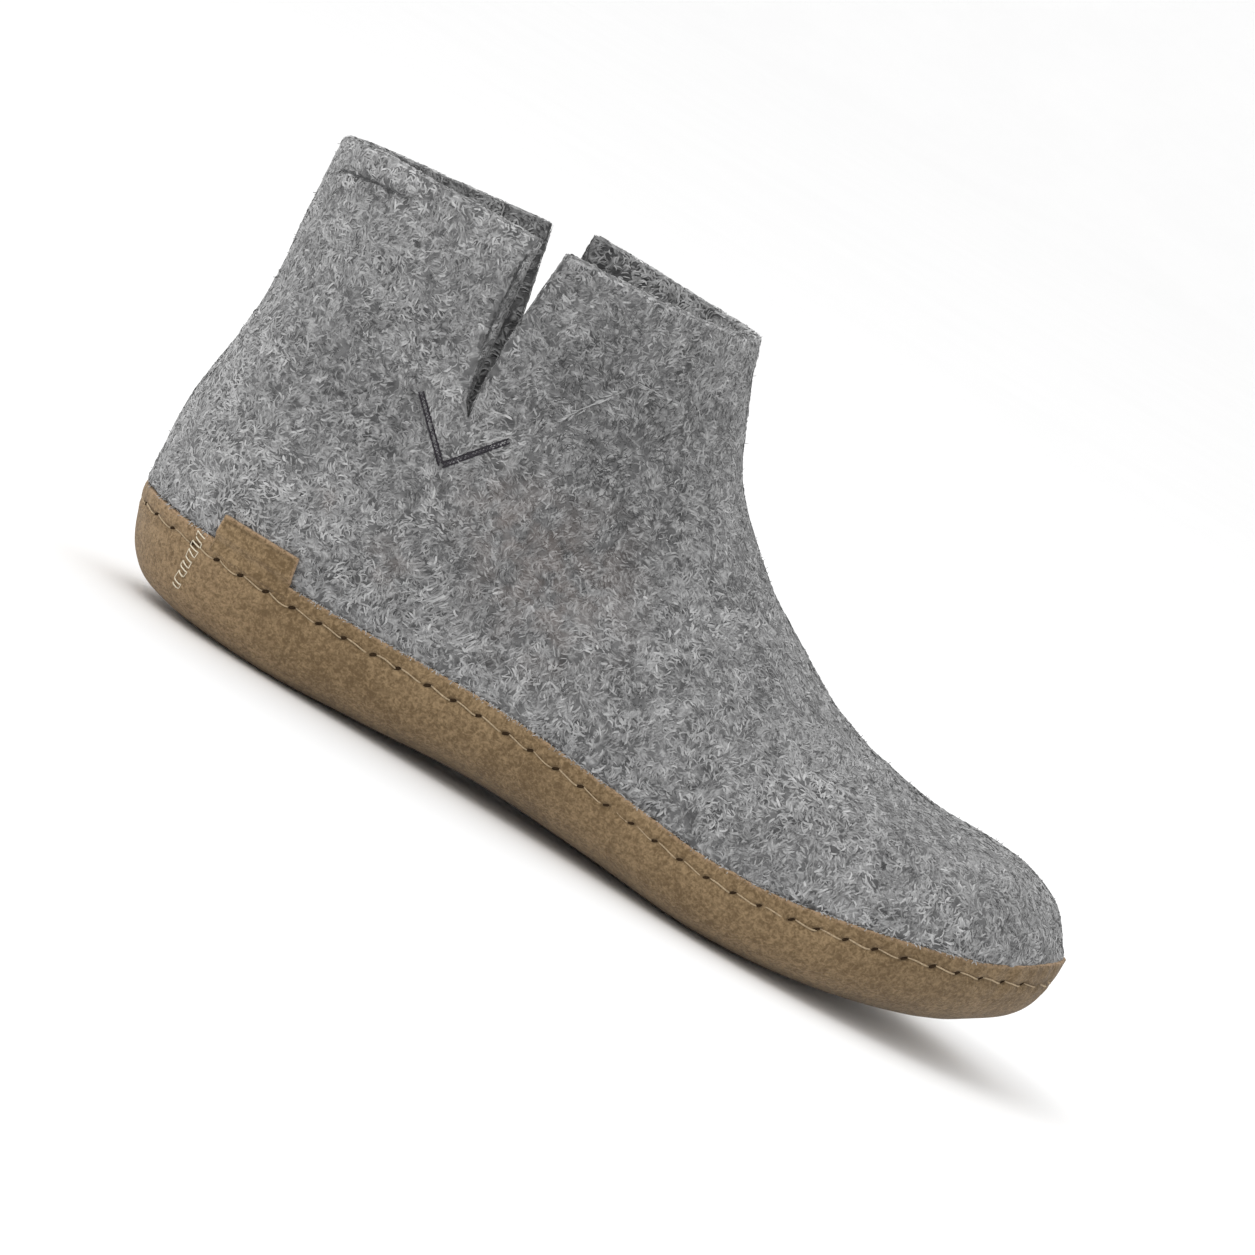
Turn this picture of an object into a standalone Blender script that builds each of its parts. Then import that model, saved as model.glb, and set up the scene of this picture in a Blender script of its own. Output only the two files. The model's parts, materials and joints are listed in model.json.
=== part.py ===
"""A slipper boot for the right foot: felt upper, leather cup sole, felt insole and leather tab.

The boot stands on the plane z = 0 with its toe towards +X and its outer side towards -Y.
Shapes are worked out in millimetres, measured from the back of the heel, and become metres in the meshes.
"""

import math

import bmesh
import bpy
import numpy as np

# Driving sizes in millimetres
LENGTH = 275.0
BALL_WIDTH = 104.0
COLLAR_HEIGHT = 141.5
FELT = 4.5
LEATHER = 1.8
INSOLE = 6.0
SEAT_GAP = 0.3
# The sole's rim nips the felt in by NIP, and the felt rolls out again over NIP_ROLL above the rim.
NIP = 1.5
NIP_ROLL = 3.0
# Lowest level of the felt skin, where the leather under it lies flat on the floor
FLAT_LEVEL = LEATHER + SEAT_GAP - NIP
FLAT_SNAP = 0.02
MILLIMETRE = 0.001

# One row for each section, from the toe tip over the instep to the collar. A section lies in the plane
# through its top and under points, square to the side view.
# along is a percentage of LENGTH, up of COLLAR_HEIGHT; outer, inner and shift are of BALL_WIDTH;
# widest is how far up the section, in percent, it is widest; square is the power of its rounded halves.
SECTION_COLUMNS = ("top_along", "top_up", "under_along", "under_up", "outer", "inner", "shift",
                   "widest", "under_square", "top_square")
SECTIONS = {
    "toe tip":    (99.7, 26.0, 99.7, 26.0, 0.0, 0.0, 5.8, 45, 2.1, 2.1),
    "toe front":  (98.7, 30.2, 98.7, 16.6, 16.3, 15.4, 5.8, 45, 2.2, 2.1),
    "toe cap":    (96.1, 36.0, 95.2, 10.6, 29.3, 27.4, 5.3, 44, 2.4, 2.2),
    "toe box":    (90.2, 40.0, 88.7, 5.1, 41.3, 38.5, 3.8, 40, 2.8, 2.3),
    "joints":     (80.0, 40.9, 78.2, 1.1, 48.6, 47.1, 1.4, 36, 3.2, 2.2),
    "ball":       (69.8, 46.1, 66.9, 0.0, 50.0, 49.0, 0.0, 33, 3.7, 2.0),
    "waist":      (60.7, 56.3, 54.5, 1.3, 44.7, 43.3, -1.0, 31, 3.2, 2.0),
    "instep":     (54.4, 65.4, 41.8, 2.4, 40.4, 38.5, -1.4, 32, 3.1, 2.0),
    "seat front": (50.5, 72.8, 29.1, 0.9, 37.0, 36.1, -0.8, 35, 3.5, 2.1),
    "seat":       (48.7, 78.2, 18.2, 0.0, 36.1, 35.6, 0.0, 40, 3.8, 2.2),
    "heel curve": (47.6, 82.5, 7.5, 1.6, 36.1, 36.1, 0.0, 45, 3.0, 2.2),
    "heel round": (47.1, 84.6, 2.5, 6.4, 36.1, 36.1, 0.0, 47, 2.5, 2.2),
    "heel rim":   (46.7, 86.5, 0.0, 19.0, 36.5, 36.5, 0.0, 48, 2.4, 2.2),
    "counter":    (45.9, 90.1, -0.5, 34.6, 37.0, 37.0, 0.0, 49, 2.4, 2.2),
    "ankle":      (45.2, 93.6, 0.9, 59.4, 38.0, 38.0, 0.0, 50, 2.4, 2.2),
    "shaft":      (44.7, 96.9, 0.5, 77.7, 38.9, 38.9, 0.0, 50, 2.3, 2.2),
    "collar":     (44.2, 100.0, 0.0, 94.0, 39.9, 39.9, 0.0, 50, 2.3, 2.2),
}
SECTION_NAMES = tuple(SECTIONS)

# Height of the sole's rim: along in percent of LENGTH, up in percent of COLLAR_HEIGHT.
RIM = ((0.0, 19.0), (7.3, 18.2), (21.8, 17.8), (40.0, 18.4), (54.5, 16.6), (65.5, 14.9),
       (72.7, 15.7), (81.8, 18.4), (90.9, 21.8), (95.3, 23.6), (99.7, 26.0))

# The tread is the part underneath that the insole covers, as a share of each section's half width.
TREAD_SHARE = 0.74
TREAD_ROUNDING = 6
TREAD_TOE = SECTION_NAMES.index("toe cap") + 1 / 3
TREAD_HEEL = SECTION_NAMES.index("heel curve")
TREAD_END_GAP = 0.025
HEEL_RIM = SECTION_NAMES.index("heel rim")
# Rows set closer together where the tread's ends and the back of the rim are rounded
CLOSE_ROWS = (TREAD_TOE + 0.04, TREAD_TOE + 0.13, TREAD_HEEL - 0.13, TREAD_HEEL - 0.04,
              HEEL_RIM - 0.12, HEEL_RIM - 0.03, HEEL_RIM + 0.13)

# Slit in each side of the shaft, a row for each height: up, back edge and front edge in the
# percentages above, and splay, the forward lean of the back edge through the felt.
SLIT_EDGES = {
    "outer": ((61.5, 24.4, 24.6, 0.0), (72.8, 23.5, 24.1, 0.05), (79.0, 22.5, 24.0, 0.3),
              (85.5, 21.7, 24.2, 0.6), (104.6, 21.8, 24.9, 0.4)),
    "inner": ((61.5, 24.8, 25.1, 0.0), (72.8, 23.4, 24.9, 0.0),
              (85.5, 21.8, 24.9, 0.0), (104.6, 19.6, 24.9, 0.0)),
}
SLIT_INSIDE = 30.0
SLIT_WALL = 40.0
SLIT_OUTSIDE = 50.0

# Tab on the outer side of the heel, in percent of LENGTH along and of COLLAR_HEIGHT up.
TAB_BACK = 9.3
TAB_FRONT = 17.6
TAB_TOP = 23.4

# Mesh fineness
ROWS_PER_SECTION = 3
TREAD_COLUMNS = 3
WALL_COLUMNS = 4
SHAFT_COLUMNS = 13
TAB_COLUMNS = 8
TAB_ROWS = 3
ROLL_COLUMNS = 1
CURVE_SAMPLES = 240
# The toe tip is a point without directions, so it is read a little behind it.
TIP_STEP = 0.001
SLOPE_STEP = 0.001
SEARCH_HALVINGS = 50
# Points closer than this many decimals of a millimetre are one vertex.
WELD_DECIMALS = 4
# Height of the line inside the foot from which each facet is seen to bulge
CORE_HEIGHT = 35.0

MATERIALS = {
    "upper": ((0.26, 0.26, 0.26, 1.0), 0.95),
    "sole": ((0.22, 0.155, 0.09, 1.0), 0.85),
    "insole": ((0.24, 0.24, 0.24, 1.0), 0.95),
    "tab": ((0.23, 0.165, 0.1, 1.0), 0.85),
}


def smooth_curve(places, values, at):
    """Read a table at any place along it, on a smooth curve through its rows."""
    slopes = np.empty_like(values)
    slopes[1:-1] = ((values[2:] - values[:-2]).T / (places[2:] - places[:-2])).T
    slopes[0] = (values[1] - values[0]) / (places[1] - places[0])
    slopes[-1] = (values[-1] - values[-2]) / (places[-1] - places[-2])
    row = int(np.clip(np.searchsorted(places, at) - 1, 0, len(places) - 2))
    step = places[row + 1] - places[row]
    t = (at - places[row]) / step
    blend = 3 * t ** 2 - 2 * t ** 3
    return (values[row] * (1 - blend) + values[row + 1] * blend
            + slopes[row] * step * t * (1 - t) ** 2 - slopes[row + 1] * step * t ** 2 * (1 - t))


def section_table():
    """The sections in millimetres, with a row beyond each end so that the curve runs out smoothly."""
    scale = np.array([LENGTH, COLLAR_HEIGHT, LENGTH, COLLAR_HEIGHT,
                      BALL_WIDTH, BALL_WIDTH, BALL_WIDTH, 1, 100, 100]) / 100
    rows = np.array(list(SECTIONS.values())) * scale
    past_toe = rows[1].copy()
    past_toe[:4] = rows[1][[2, 3, 0, 1]]
    past_toe[4:6] = -rows[1][4:6]
    past_collar = 2 * rows[-1] - rows[-2]
    return np.vstack([past_toe, rows, past_collar])


SECTION_ROWS = section_table()
SECTION_PLACES = np.arange(-1, len(SECTIONS) + 1, dtype=float)
RIM_ROWS = np.array(RIM) / 100 * (LENGTH, COLLAR_HEIGHT)


def section(place):
    """The sizes of the section at a row number, whole or between rows."""
    values = smooth_curve(SECTION_PLACES, SECTION_ROWS, place)
    return dict(zip(SECTION_COLUMNS, values))


def rim_height(along):
    """Height of the sole's rim at a distance from the back of the heel."""
    return np.array([smooth_curve(RIM_ROWS[:, 0], RIM_ROWS[:, 1], x) for x in np.atleast_1d(along)])


def skin(place, angles):
    """Points on the felt's outer skin. An angle is 0 underneath and pi on top, negative on the inner side."""
    size = section(place)
    angles = (np.atleast_1d(angles) + math.pi) % (2 * math.pi) - math.pi
    side = np.where(angles < 0, 1, -1)
    cosine = np.cos(angles)
    below = cosine > 0
    power = 2 / np.where(below, size["under_square"], size["top_square"])
    reach = np.abs(cosine) ** power
    widest = size["widest"]
    rise = np.where(below, widest * (1 - reach), widest + (1 - widest) * reach)
    half = np.where(side < 0, size["outer"], size["inner"])
    x = size["under_along"] + rise * (size["top_along"] - size["under_along"])
    y = size["shift"] + side * half * np.abs(np.sin(angles)) ** power
    z = np.maximum(size["under_up"] + rise * (size["top_up"] - size["under_up"]), FLAT_LEVEL)
    return np.stack([x, y, z], axis=1)


def skin_normals(place, angles):
    """Outward directions of the skin."""
    if place == 0:
        return np.tile((1.0, 0.0, 0.0), (len(angles), 1))
    along = skin(place + SLOPE_STEP, angles) - skin(max(place - SLOPE_STEP, 0), angles)
    around = skin(place, angles + SLOPE_STEP) - skin(place, angles - SLOPE_STEP)
    normals = np.cross(around, along)
    return normals / np.linalg.norm(normals, axis=1)[:, None]


def nip_depth(points):
    """How far the felt is nipped in at points of the skin: all of NIP below the rim, none above the roll."""
    rise = np.clip((points[:, 2] - rim_height(points[:, 0])) / NIP_ROLL, 0, 1)
    return NIP * (1 - rise ** 2 * (3 - 2 * rise))


def layer(place, angles, height):
    """Points at a height over the nipped felt surface, below it if negative."""
    points = skin(place, angles)
    lift = height - nip_depth(points)
    return points + skin_normals(place, angles) * lift[:, None]


def felt_inside(place, angles):
    """Points on the inner face of the felt wall."""
    return skin(place, angles) - skin_normals(place, angles) * FELT


def tread_half_width(place, side):
    """Half width of the tread at a section, falling to nothing at its rounded ends."""
    middle = (TREAD_TOE + TREAD_HEEL) / 2
    reach = abs(place - middle) / (TREAD_HEEL - middle)
    if reach >= 1:
        return 0.0
    size = section(place)
    return TREAD_SHARE * size[side] * math.sqrt(1 - reach ** TREAD_ROUNDING)


def first_crossing(angles, heights):
    """The angle at which heights first rise above zero."""
    above = int(np.argmax(heights > 0))
    if above == 0:
        return 0.0
    share = -heights[above - 1] / (heights[above] - heights[above - 1])
    return angles[above - 1] + share * (angles[above] - angles[above - 1])


def edge_angles(place, side, inset=0.0):
    """Angles of the tread's edge and of the sole's rim on one side of a section."""
    sign = 1 if side == "outer" else -1
    read_at = max(place, TIP_STEP)
    angles = np.linspace(0, math.pi, CURVE_SAMPLES)
    points = skin(read_at, sign * angles)
    tread = 0.0
    half = tread_half_width(place, side) - inset
    if half > 0:
        tread = first_crossing(angles, np.abs(points[:, 1] - section(read_at)["shift"]) - half)
    rim = 0.0
    if place < HEEL_RIM:
        rim = first_crossing(angles, points[:, 2] - rim_height(points[:, 0]))
    return tread, rim


def spread(place, sign, start, stop, shares):
    """Angles from start to stop at the given shares of the way along the skin."""
    angles = np.linspace(start, stop, CURVE_SAMPLES)
    points = skin(max(place, TIP_STEP), sign * angles)
    steps = np.linalg.norm(np.diff(points, axis=0), axis=1)
    way = np.concatenate([[0], np.cumsum(steps)])
    if way[-1] == 0:
        return np.full(len(shares), start)
    return np.interp(np.array(shares) * way[-1], way, angles)


def even_shares(count):
    """Shares of the way for a number of equal steps."""
    return np.linspace(0, 1, count + 1)


def shaft_shares(place, sign, rim):
    """Shares of the way from the rim to the top: the roll, then equal steps."""
    points = skin(max(place, TIP_STEP), sign * np.linspace(rim, math.pi, CURVE_SAMPLES))
    length = np.linalg.norm(np.diff(points, axis=0), axis=1).sum()
    roll = min(NIP_ROLL / length, ROLL_COLUMNS / SHAFT_COLUMNS)
    over_roll = roll * even_shares(ROLL_COLUMNS)[:-1]
    return np.concatenate([over_roll, roll + (1 - roll) * even_shares(SHAFT_COLUMNS - ROLL_COLUMNS)])


def tread_columns(place, side, inset=0.0):
    """Angles from the middle of the underside to the tread's edge."""
    sign = 1 if side == "outer" else -1
    tread, _ = edge_angles(place, side, inset)
    return sign * spread(place, sign, 0, tread, even_shares(TREAD_COLUMNS))


def wall_columns(place, side):
    """Angles from the tread's edge to the sole's rim."""
    sign = 1 if side == "outer" else -1
    tread, rim = edge_angles(place, side)
    return sign * spread(place, sign, min(tread, rim), rim, even_shares(WALL_COLUMNS))


def shaft_columns(place, side):
    """Angles from the sole's rim to the top."""
    sign = 1 if side == "outer" else -1
    _, rim = edge_angles(place, side)
    return sign * spread(place, sign, rim, math.pi, shaft_shares(place, sign, rim))


def section_places(start, stop):
    """Row numbers of the mesh from one section to another."""
    steps = round((stop - start) * ROWS_PER_SECTION)
    places = [start + step / ROWS_PER_SECTION for step in range(steps + 1)]
    return sorted(places + [place for place in CLOSE_ROWS if start < place < stop])


def add_object(name, mesh):
    """Put a mesh into the scene as a named object."""
    item = bpy.data.objects.new(name, mesh)
    bpy.context.collection.objects.link(item)
    return item


def finish(item):
    """Give a piece its own material and shade it smooth."""
    colour, roughness = MATERIALS[item.name]
    material = bpy.data.materials.new(item.name)
    material.use_nodes = True
    shader = material.node_tree.nodes["Principled BSDF"]
    shader.inputs["Base Color"].default_value = colour
    shader.inputs["Roughness"].default_value = roughness
    shader.inputs["Metallic"].default_value = 0.0
    item.data.materials.append(material)
    for face in item.data.polygons:
        face.use_smooth = True


def core_distance(point):
    """Distance of a point from the line that runs along the inside of the foot."""
    return math.hypot(point[1], point[2] - CORE_HEIGHT)


def triangles(points):
    """Split four points into triangles along the diagonal that bulges more, so that sheets nest."""
    if len(points) < 4:
        return [points]
    first, second, third, fourth = points
    if core_distance((first + third) / 2) > core_distance((second + fourth) / 2):
        return [(first, second, third), (first, third, fourth)]
    return [(first, second, fourth), (second, third, fourth)]


def solid(name, outside, inside):
    """One closed solid between two sheets of rows of points, with walls along their edges.

    Points that meet are one vertex. A wall that comes up twice lies within the solid and is left out.
    """
    numbers = {}
    vertices = []
    faces = {}

    def number(point):
        key = tuple(np.round(point, WELD_DECIMALS))
        if key not in numbers:
            numbers[key] = len(vertices)
            vertices.append([value * MILLIMETRE for value in point])
        return numbers[key]

    def add(*points):
        corners = {number(point): point for point in points}
        if len(corners) < 3:
            return
        for triangle in triangles(list(corners.values())):
            loop = [number(point) for point in triangle]
            key = frozenset(loop)
            if key in faces:
                del faces[key]
            else:
                faces[key] = loop

    for sheet in (outside, inside):
        for row, following in zip(sheet, sheet[1:]):
            for column in range(len(row) - 1):
                add(row[column], row[column + 1], following[column + 1], following[column])
    for end in (0, -1):
        over, under = outside[end], inside[end]
        for column in range(len(over) - 1):
            add(over[column], over[column + 1], under[column + 1], under[column])
        for row in range(len(outside) - 1):
            add(outside[row][end], outside[row + 1][end], inside[row + 1][end], inside[row][end])

    mesh = bpy.data.meshes.new(name)
    mesh.from_pydata(vertices, [], list(faces.values()))
    shape = bmesh.new()
    shape.from_mesh(mesh)
    bmesh.ops.recalc_face_normals(shape, faces=shape.faces[:])
    shape.to_mesh(mesh)
    shape.free()
    return add_object(name, mesh)


def upper_angles(place):
    """Angles of the upper's columns, from the outer edge of the tread over the top to the inner edge."""
    outer = np.concatenate([wall_columns(place, "outer"), shaft_columns(place, "outer")[1:]])
    inner = np.concatenate([wall_columns(place, "inner"), shaft_columns(place, "inner")[1:]])
    return np.concatenate([outer, inner[-2::-1]])


def upper_row(place):
    """Outside and inside points of one row of the upper. Close rows run together above the rim's roll."""
    angles = upper_angles(place)
    outside = layer(place, angles, 0.0)
    inside = felt_inside(place, angles)
    if place in CLOSE_ROWS:
        home = round(place * ROWS_PER_SECTION) / ROWS_PER_SECTION
        first = WALL_COLUMNS + ROLL_COLUMNS + 1
        shared = slice(first, len(angles) - first)
        home_angles = upper_angles(home)[shared]
        outside[shared] = layer(home, home_angles, 0.0)
        inside[shared] = felt_inside(home, home_angles)
    return outside, inside


def make_upper():
    """The felt boot, open at the collar, at its slits and underneath."""
    rows = [upper_row(place) for place in section_places(0, len(SECTIONS) - 1)]
    upper = solid("upper", [outside for outside, _ in rows], [inside for _, inside in rows])
    for side in SLIT_EDGES:
        cut = upper.modifiers.new("slit " + side, "BOOLEAN")
        cut.operation = "DIFFERENCE"
        cut.solver = "EXACT"
        cut.object = slit_cutter(side)
    finish(upper)


def slit_cutter(side):
    """A wedge through one side of the shaft, in the shape of its slit."""
    sign = -1 if side == "outer" else 1
    sheets = []
    for depth in (SLIT_INSIDE, SLIT_OUTSIDE):
        sheet = []
        for up, back, front, splay in SLIT_EDGES[side]:
            lean = splay * (SLIT_WALL - depth)
            height = up / 100 * COLLAR_HEIGHT
            sheet.append(np.array([(back / 100 * LENGTH + lean, sign * depth, height),
                                   (front / 100 * LENGTH, sign * depth, height)]))
        sheets.append(sheet)
    cutter = solid("slit cutter " + side, *sheets)
    cutter.hide_render = True
    cutter.display_type = "WIRE"
    return cutter


def make_sole():
    """The leather cup, from rim to rim underneath, with its heel and forefoot flat on the floor."""
    outside, inside = [], []
    for place in section_places(0, HEEL_RIM):
        outer = np.concatenate([tread_columns(place, "outer"), wall_columns(place, "outer")[1:]])
        inner = np.concatenate([tread_columns(place, "inner"), wall_columns(place, "inner")[1:]])
        angles = np.concatenate([outer[::-1], inner[1:]])
        under = layer(place, angles, SEAT_GAP + LEATHER)
        under[under[:, 2] < FLAT_SNAP, 2] = 0.0
        outside.append(under)
        inside.append(layer(place, angles, SEAT_GAP))
    finish(solid("sole", outside, inside))


def make_insole():
    """The felt floor inside the upper's open underside."""
    places = section_places(TREAD_TOE, TREAD_HEEL)
    places[0] += TREAD_END_GAP
    places[-1] -= TREAD_END_GAP
    over, under = [], []
    for place in places:
        inset = SEAT_GAP if place not in (places[0], places[-1]) else BALL_WIDTH
        outer = tread_columns(place, "outer", inset)
        inner = tread_columns(place, "inner", inset)
        angles = np.concatenate([outer[::-1], inner[1:]])
        over.append(layer(place, angles, -INSOLE))
        under.append(layer(place, angles, 0.0))
    finish(solid("insole", over, under))


def find_on_side(along, up):
    """Section row number and angle of the outer skin at a place in the side view."""
    low, high = 0.0, len(SECTIONS) - 1.0
    for _ in range(SEARCH_HALVINGS):
        place = (low + high) / 2
        size = section(place)
        run = size["top_along"] - size["under_along"]
        climb = size["top_up"] - size["under_up"]
        ahead = (along - size["under_along"]) * climb - (up - size["under_up"]) * run
        if ahead > 0:
            high = place
        else:
            low = place
    rise = ((along - size["under_along"]) * run + (up - size["under_up"]) * climb) / (run ** 2 + climb ** 2)
    widest = size["widest"]
    if rise < widest:
        return place, math.acos((1 - rise / widest) ** (size["under_square"] / 2))
    return place, math.acos(-((rise - widest) / (1 - widest)) ** (size["top_square"] / 2))


def make_tab():
    """The leather tab, standing on the sole's rim and lying against the felt."""
    outside, inside = [], []
    for along in np.linspace(TAB_BACK, TAB_FRONT, TAB_COLUMNS + 1) / 100 * LENGTH:
        low = rim_height(along)[0] + SEAT_GAP
        over, under = [], []
        for up in np.linspace(low, TAB_TOP / 100 * COLLAR_HEIGHT, TAB_ROWS + 1):
            place, angle = find_on_side(along, up)
            over.append(layer(place, np.array([angle]), SEAT_GAP + LEATHER)[0])
            under.append(layer(place, np.array([angle]), SEAT_GAP)[0])
        outside.append(over)
        inside.append(under)
    finish(solid("tab", outside, inside))


def stand_over_origin():
    """Hang every piece on one empty and move it so that the boot's base is centred on the origin."""
    meshes = [item for item in bpy.data.objects if item.type == "MESH"]
    pieces = [item.data for item in meshes if not item.hide_render]
    corners = np.array([vertex.co for piece in pieces for vertex in piece.vertices])
    low, high = corners.min(axis=0), corners.max(axis=0)
    boot = add_object("boot", None)
    boot.location = (-(low[0] + high[0]) / 2, -(low[1] + high[1]) / 2, -low[2])
    for item in meshes:
        item.parent = boot


def main():
    """Build the boot in an empty scene and stand it over the origin."""
    for item in list(bpy.data.objects):
        bpy.data.objects.remove(item, do_unlink=True)
    make_upper()
    make_sole()
    make_insole()
    make_tab()
    stand_over_origin()


main()
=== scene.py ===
"""Looks of a felt slipper boot for the right foot: grey wool felt, suede cup sole and its sewing.

Shapes are worked out in millimetres, measured from the back of the heel, and become metres in the meshes.
"""

import json
import math

import bmesh
import bpy
import numpy as np
from bpy.props import FloatProperty, FloatVectorProperty, IntProperty, PointerProperty
from mathutils import Matrix, Vector

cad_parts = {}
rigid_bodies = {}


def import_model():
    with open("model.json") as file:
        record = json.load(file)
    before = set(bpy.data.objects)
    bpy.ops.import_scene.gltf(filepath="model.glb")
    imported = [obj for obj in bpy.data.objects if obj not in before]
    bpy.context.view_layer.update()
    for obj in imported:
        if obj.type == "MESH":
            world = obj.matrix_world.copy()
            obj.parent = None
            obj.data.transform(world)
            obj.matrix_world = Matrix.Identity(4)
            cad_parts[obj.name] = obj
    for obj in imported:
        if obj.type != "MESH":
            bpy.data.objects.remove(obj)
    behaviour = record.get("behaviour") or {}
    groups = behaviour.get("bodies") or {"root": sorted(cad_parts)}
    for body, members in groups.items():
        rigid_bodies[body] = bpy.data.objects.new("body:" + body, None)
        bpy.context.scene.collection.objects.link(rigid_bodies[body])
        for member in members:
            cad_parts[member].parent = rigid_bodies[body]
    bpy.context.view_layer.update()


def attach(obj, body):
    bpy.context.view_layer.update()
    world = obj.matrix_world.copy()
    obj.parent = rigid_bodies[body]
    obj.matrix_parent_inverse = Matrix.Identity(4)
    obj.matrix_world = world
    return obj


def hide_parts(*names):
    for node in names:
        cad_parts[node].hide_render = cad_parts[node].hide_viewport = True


bl_info = {
    "name": "Felt slipper boot",
    "version": (1, 0, 0),
    "blender": (4, 5, 0),
    "location": "View3D > Sidebar > Felt boot",
    "description": "Dresses the solids of a felt slipper boot in felt, suede and sewing",
    "category": "Object",
}

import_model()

# Driving sizes in millimetres, as in the solids
LENGTH = 275.0
BALL_WIDTH = 104.0
COLLAR_HEIGHT = 141.5
FELT = 4.5
LEATHER = 1.8
INSOLE = 6.0
SEAT_GAP = 0.3
NIP = 1.5
NIP_ROLL = 3.0
FELT_ROLL = 1.0
FELT_SWELL = 0.35
FLAT_LEVEL = LEATHER + SEAT_GAP - NIP
FLAT_SNAP = 0.02
MILLIMETRE = 0.001
# Where the back of the heel and the middle of the last are in the frame
HEEL_PLACE = np.array((-136.634, 0.269, 0.0))

# One row for each section, from the toe tip over the instep to the collar: along is a percentage of
# LENGTH, up of COLLAR_HEIGHT; outer, inner and shift are of BALL_WIDTH; widest is how far up the section,
# in percent, it is widest; square is the power of its rounded halves.
SECTION_COLUMNS = ("top_along", "top_up", "under_along", "under_up", "outer", "inner", "shift",
                   "widest", "under_square", "top_square")
SECTIONS = {
    "toe tip":    (99.7, 26.0, 99.7, 26.0, 0.0, 0.0, 5.8, 45, 2.1, 2.1),
    "toe front":  (98.7, 30.2, 98.7, 16.6, 16.3, 15.4, 5.8, 45, 2.2, 2.1),
    "toe cap":    (96.1, 36.0, 95.2, 10.6, 29.3, 27.4, 5.3, 44, 2.4, 2.2),
    "toe box":    (90.2, 40.0, 88.7, 5.1, 41.3, 38.5, 3.8, 40, 2.8, 2.3),
    "joints":     (80.0, 40.9, 78.2, 1.1, 48.6, 47.1, 1.4, 36, 3.2, 2.2),
    "ball":       (69.8, 46.1, 66.9, 0.0, 50.0, 49.0, 0.0, 33, 3.7, 2.0),
    "waist":      (60.7, 56.3, 54.5, 1.3, 44.7, 43.3, -1.0, 31, 3.2, 2.0),
    "instep":     (54.4, 65.4, 41.8, 2.4, 40.4, 38.5, -1.4, 32, 3.1, 2.0),
    "seat front": (50.5, 72.8, 29.1, 0.9, 37.0, 36.1, -0.8, 35, 3.5, 2.1),
    "seat":       (48.7, 78.2, 18.2, 0.0, 36.1, 35.6, 0.0, 40, 3.8, 2.2),
    "heel curve": (47.6, 82.5, 7.5, 1.6, 36.1, 36.1, 0.0, 45, 3.0, 2.2),
    "heel round": (47.1, 84.6, 2.5, 6.4, 36.1, 36.1, 0.0, 47, 2.5, 2.2),
    "heel rim":   (46.7, 86.5, 0.0, 19.0, 36.5, 36.5, 0.0, 48, 2.4, 2.2),
    "counter":    (45.9, 90.1, -0.5, 34.6, 37.0, 37.0, 0.0, 49, 2.4, 2.2),
    "ankle":      (45.2, 93.6, 0.9, 59.4, 38.0, 38.0, 0.0, 50, 2.4, 2.2),
    "shaft":      (44.7, 96.9, 0.5, 77.7, 38.9, 38.9, 0.0, 50, 2.3, 2.2),
    "collar":     (44.2, 100.0, 0.0, 94.0, 39.9, 39.9, 0.0, 50, 2.3, 2.2),
}
SECTION_NAMES = tuple(SECTIONS)
COLLAR = len(SECTIONS) - 1
HEEL_RIM = SECTION_NAMES.index("heel rim")

# Height of the sole's rim: along in percent of LENGTH, up in percent of COLLAR_HEIGHT
RIM = ((0.0, 19.0), (7.3, 18.2), (21.8, 17.8), (40.0, 18.4), (54.5, 16.6), (65.5, 14.9),
       (72.7, 15.7), (81.8, 18.4), (90.9, 21.8), (95.3, 23.6), (99.7, 26.0))

# The tread is the part underneath that the insole covers, as a share of each section's half width.
TREAD_SHARE = 0.74
TREAD_ROUNDING = 6
TREAD_TOE = SECTION_NAMES.index("toe cap") + 1 / 3
TREAD_HEEL = SECTION_NAMES.index("heel curve")
TREAD_END_GAP = 0.025

# Sign of the angles on each side of the boot
SIGNS = {"outer": 1, "inner": -1}

# Slit in each side of the shaft, a row for each height: up, back edge and front edge in the
# percentages above, and lean, how far the back edge moves forward for each millimetre into the felt.
SLITS = {
    "outer": ((61.4, 24.5, 24.5, 0.0), (64.0, 23.5, 24.4, 0.1), (68.6, 22.9, 24.2, 0.3),
              (73.2, 22.35, 24.2, 0.5), (78.0, 22.05, 24.2, 0.55), (82.5, 21.8, 24.36, 0.55),
              (86.4, 21.7, 24.56, 0.55), (91.0, 21.5, 24.76, 0.5), (96.0, 21.8, 24.98, 0.3),
              (104.6, 21.9, 25.0, 0.1)),
    "inner": ((61.4, 24.5, 24.5, 0.0), (64.0, 24.0, 25.0, 0.0), (68.0, 23.4, 25.0, 0.0),
              (72.8, 22.9, 24.9, 0.0), (79.0, 22.4, 24.9, 0.0), (85.5, 21.7, 24.9, 0.0),
              (104.6, 19.6, 24.9, 0.0)),
}
# How far the cut collar rises over its straight line, or dips below it: distances along and up
COLLAR_LINE = {
    "outer": ((0, -0.9), (15, 0.7), (40, -0.3), (60, -1.1), (85, -1.7), (107, -1.9), (121, -0.4)),
    "inner": ((0, -0.9), (28, -0.9), (56, 0.0), (67, 2.7), (86, 1.2), (102, -0.1), (121, -0.4)),
}
COLLAR_SECTIONS = 1.0
# Below the slit its line runs on at this share of each section's rise, this many sections further down.
SLIT_RUN_RISE = 0.62
SLIT_RUN_SECTIONS = 6.0

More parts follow.
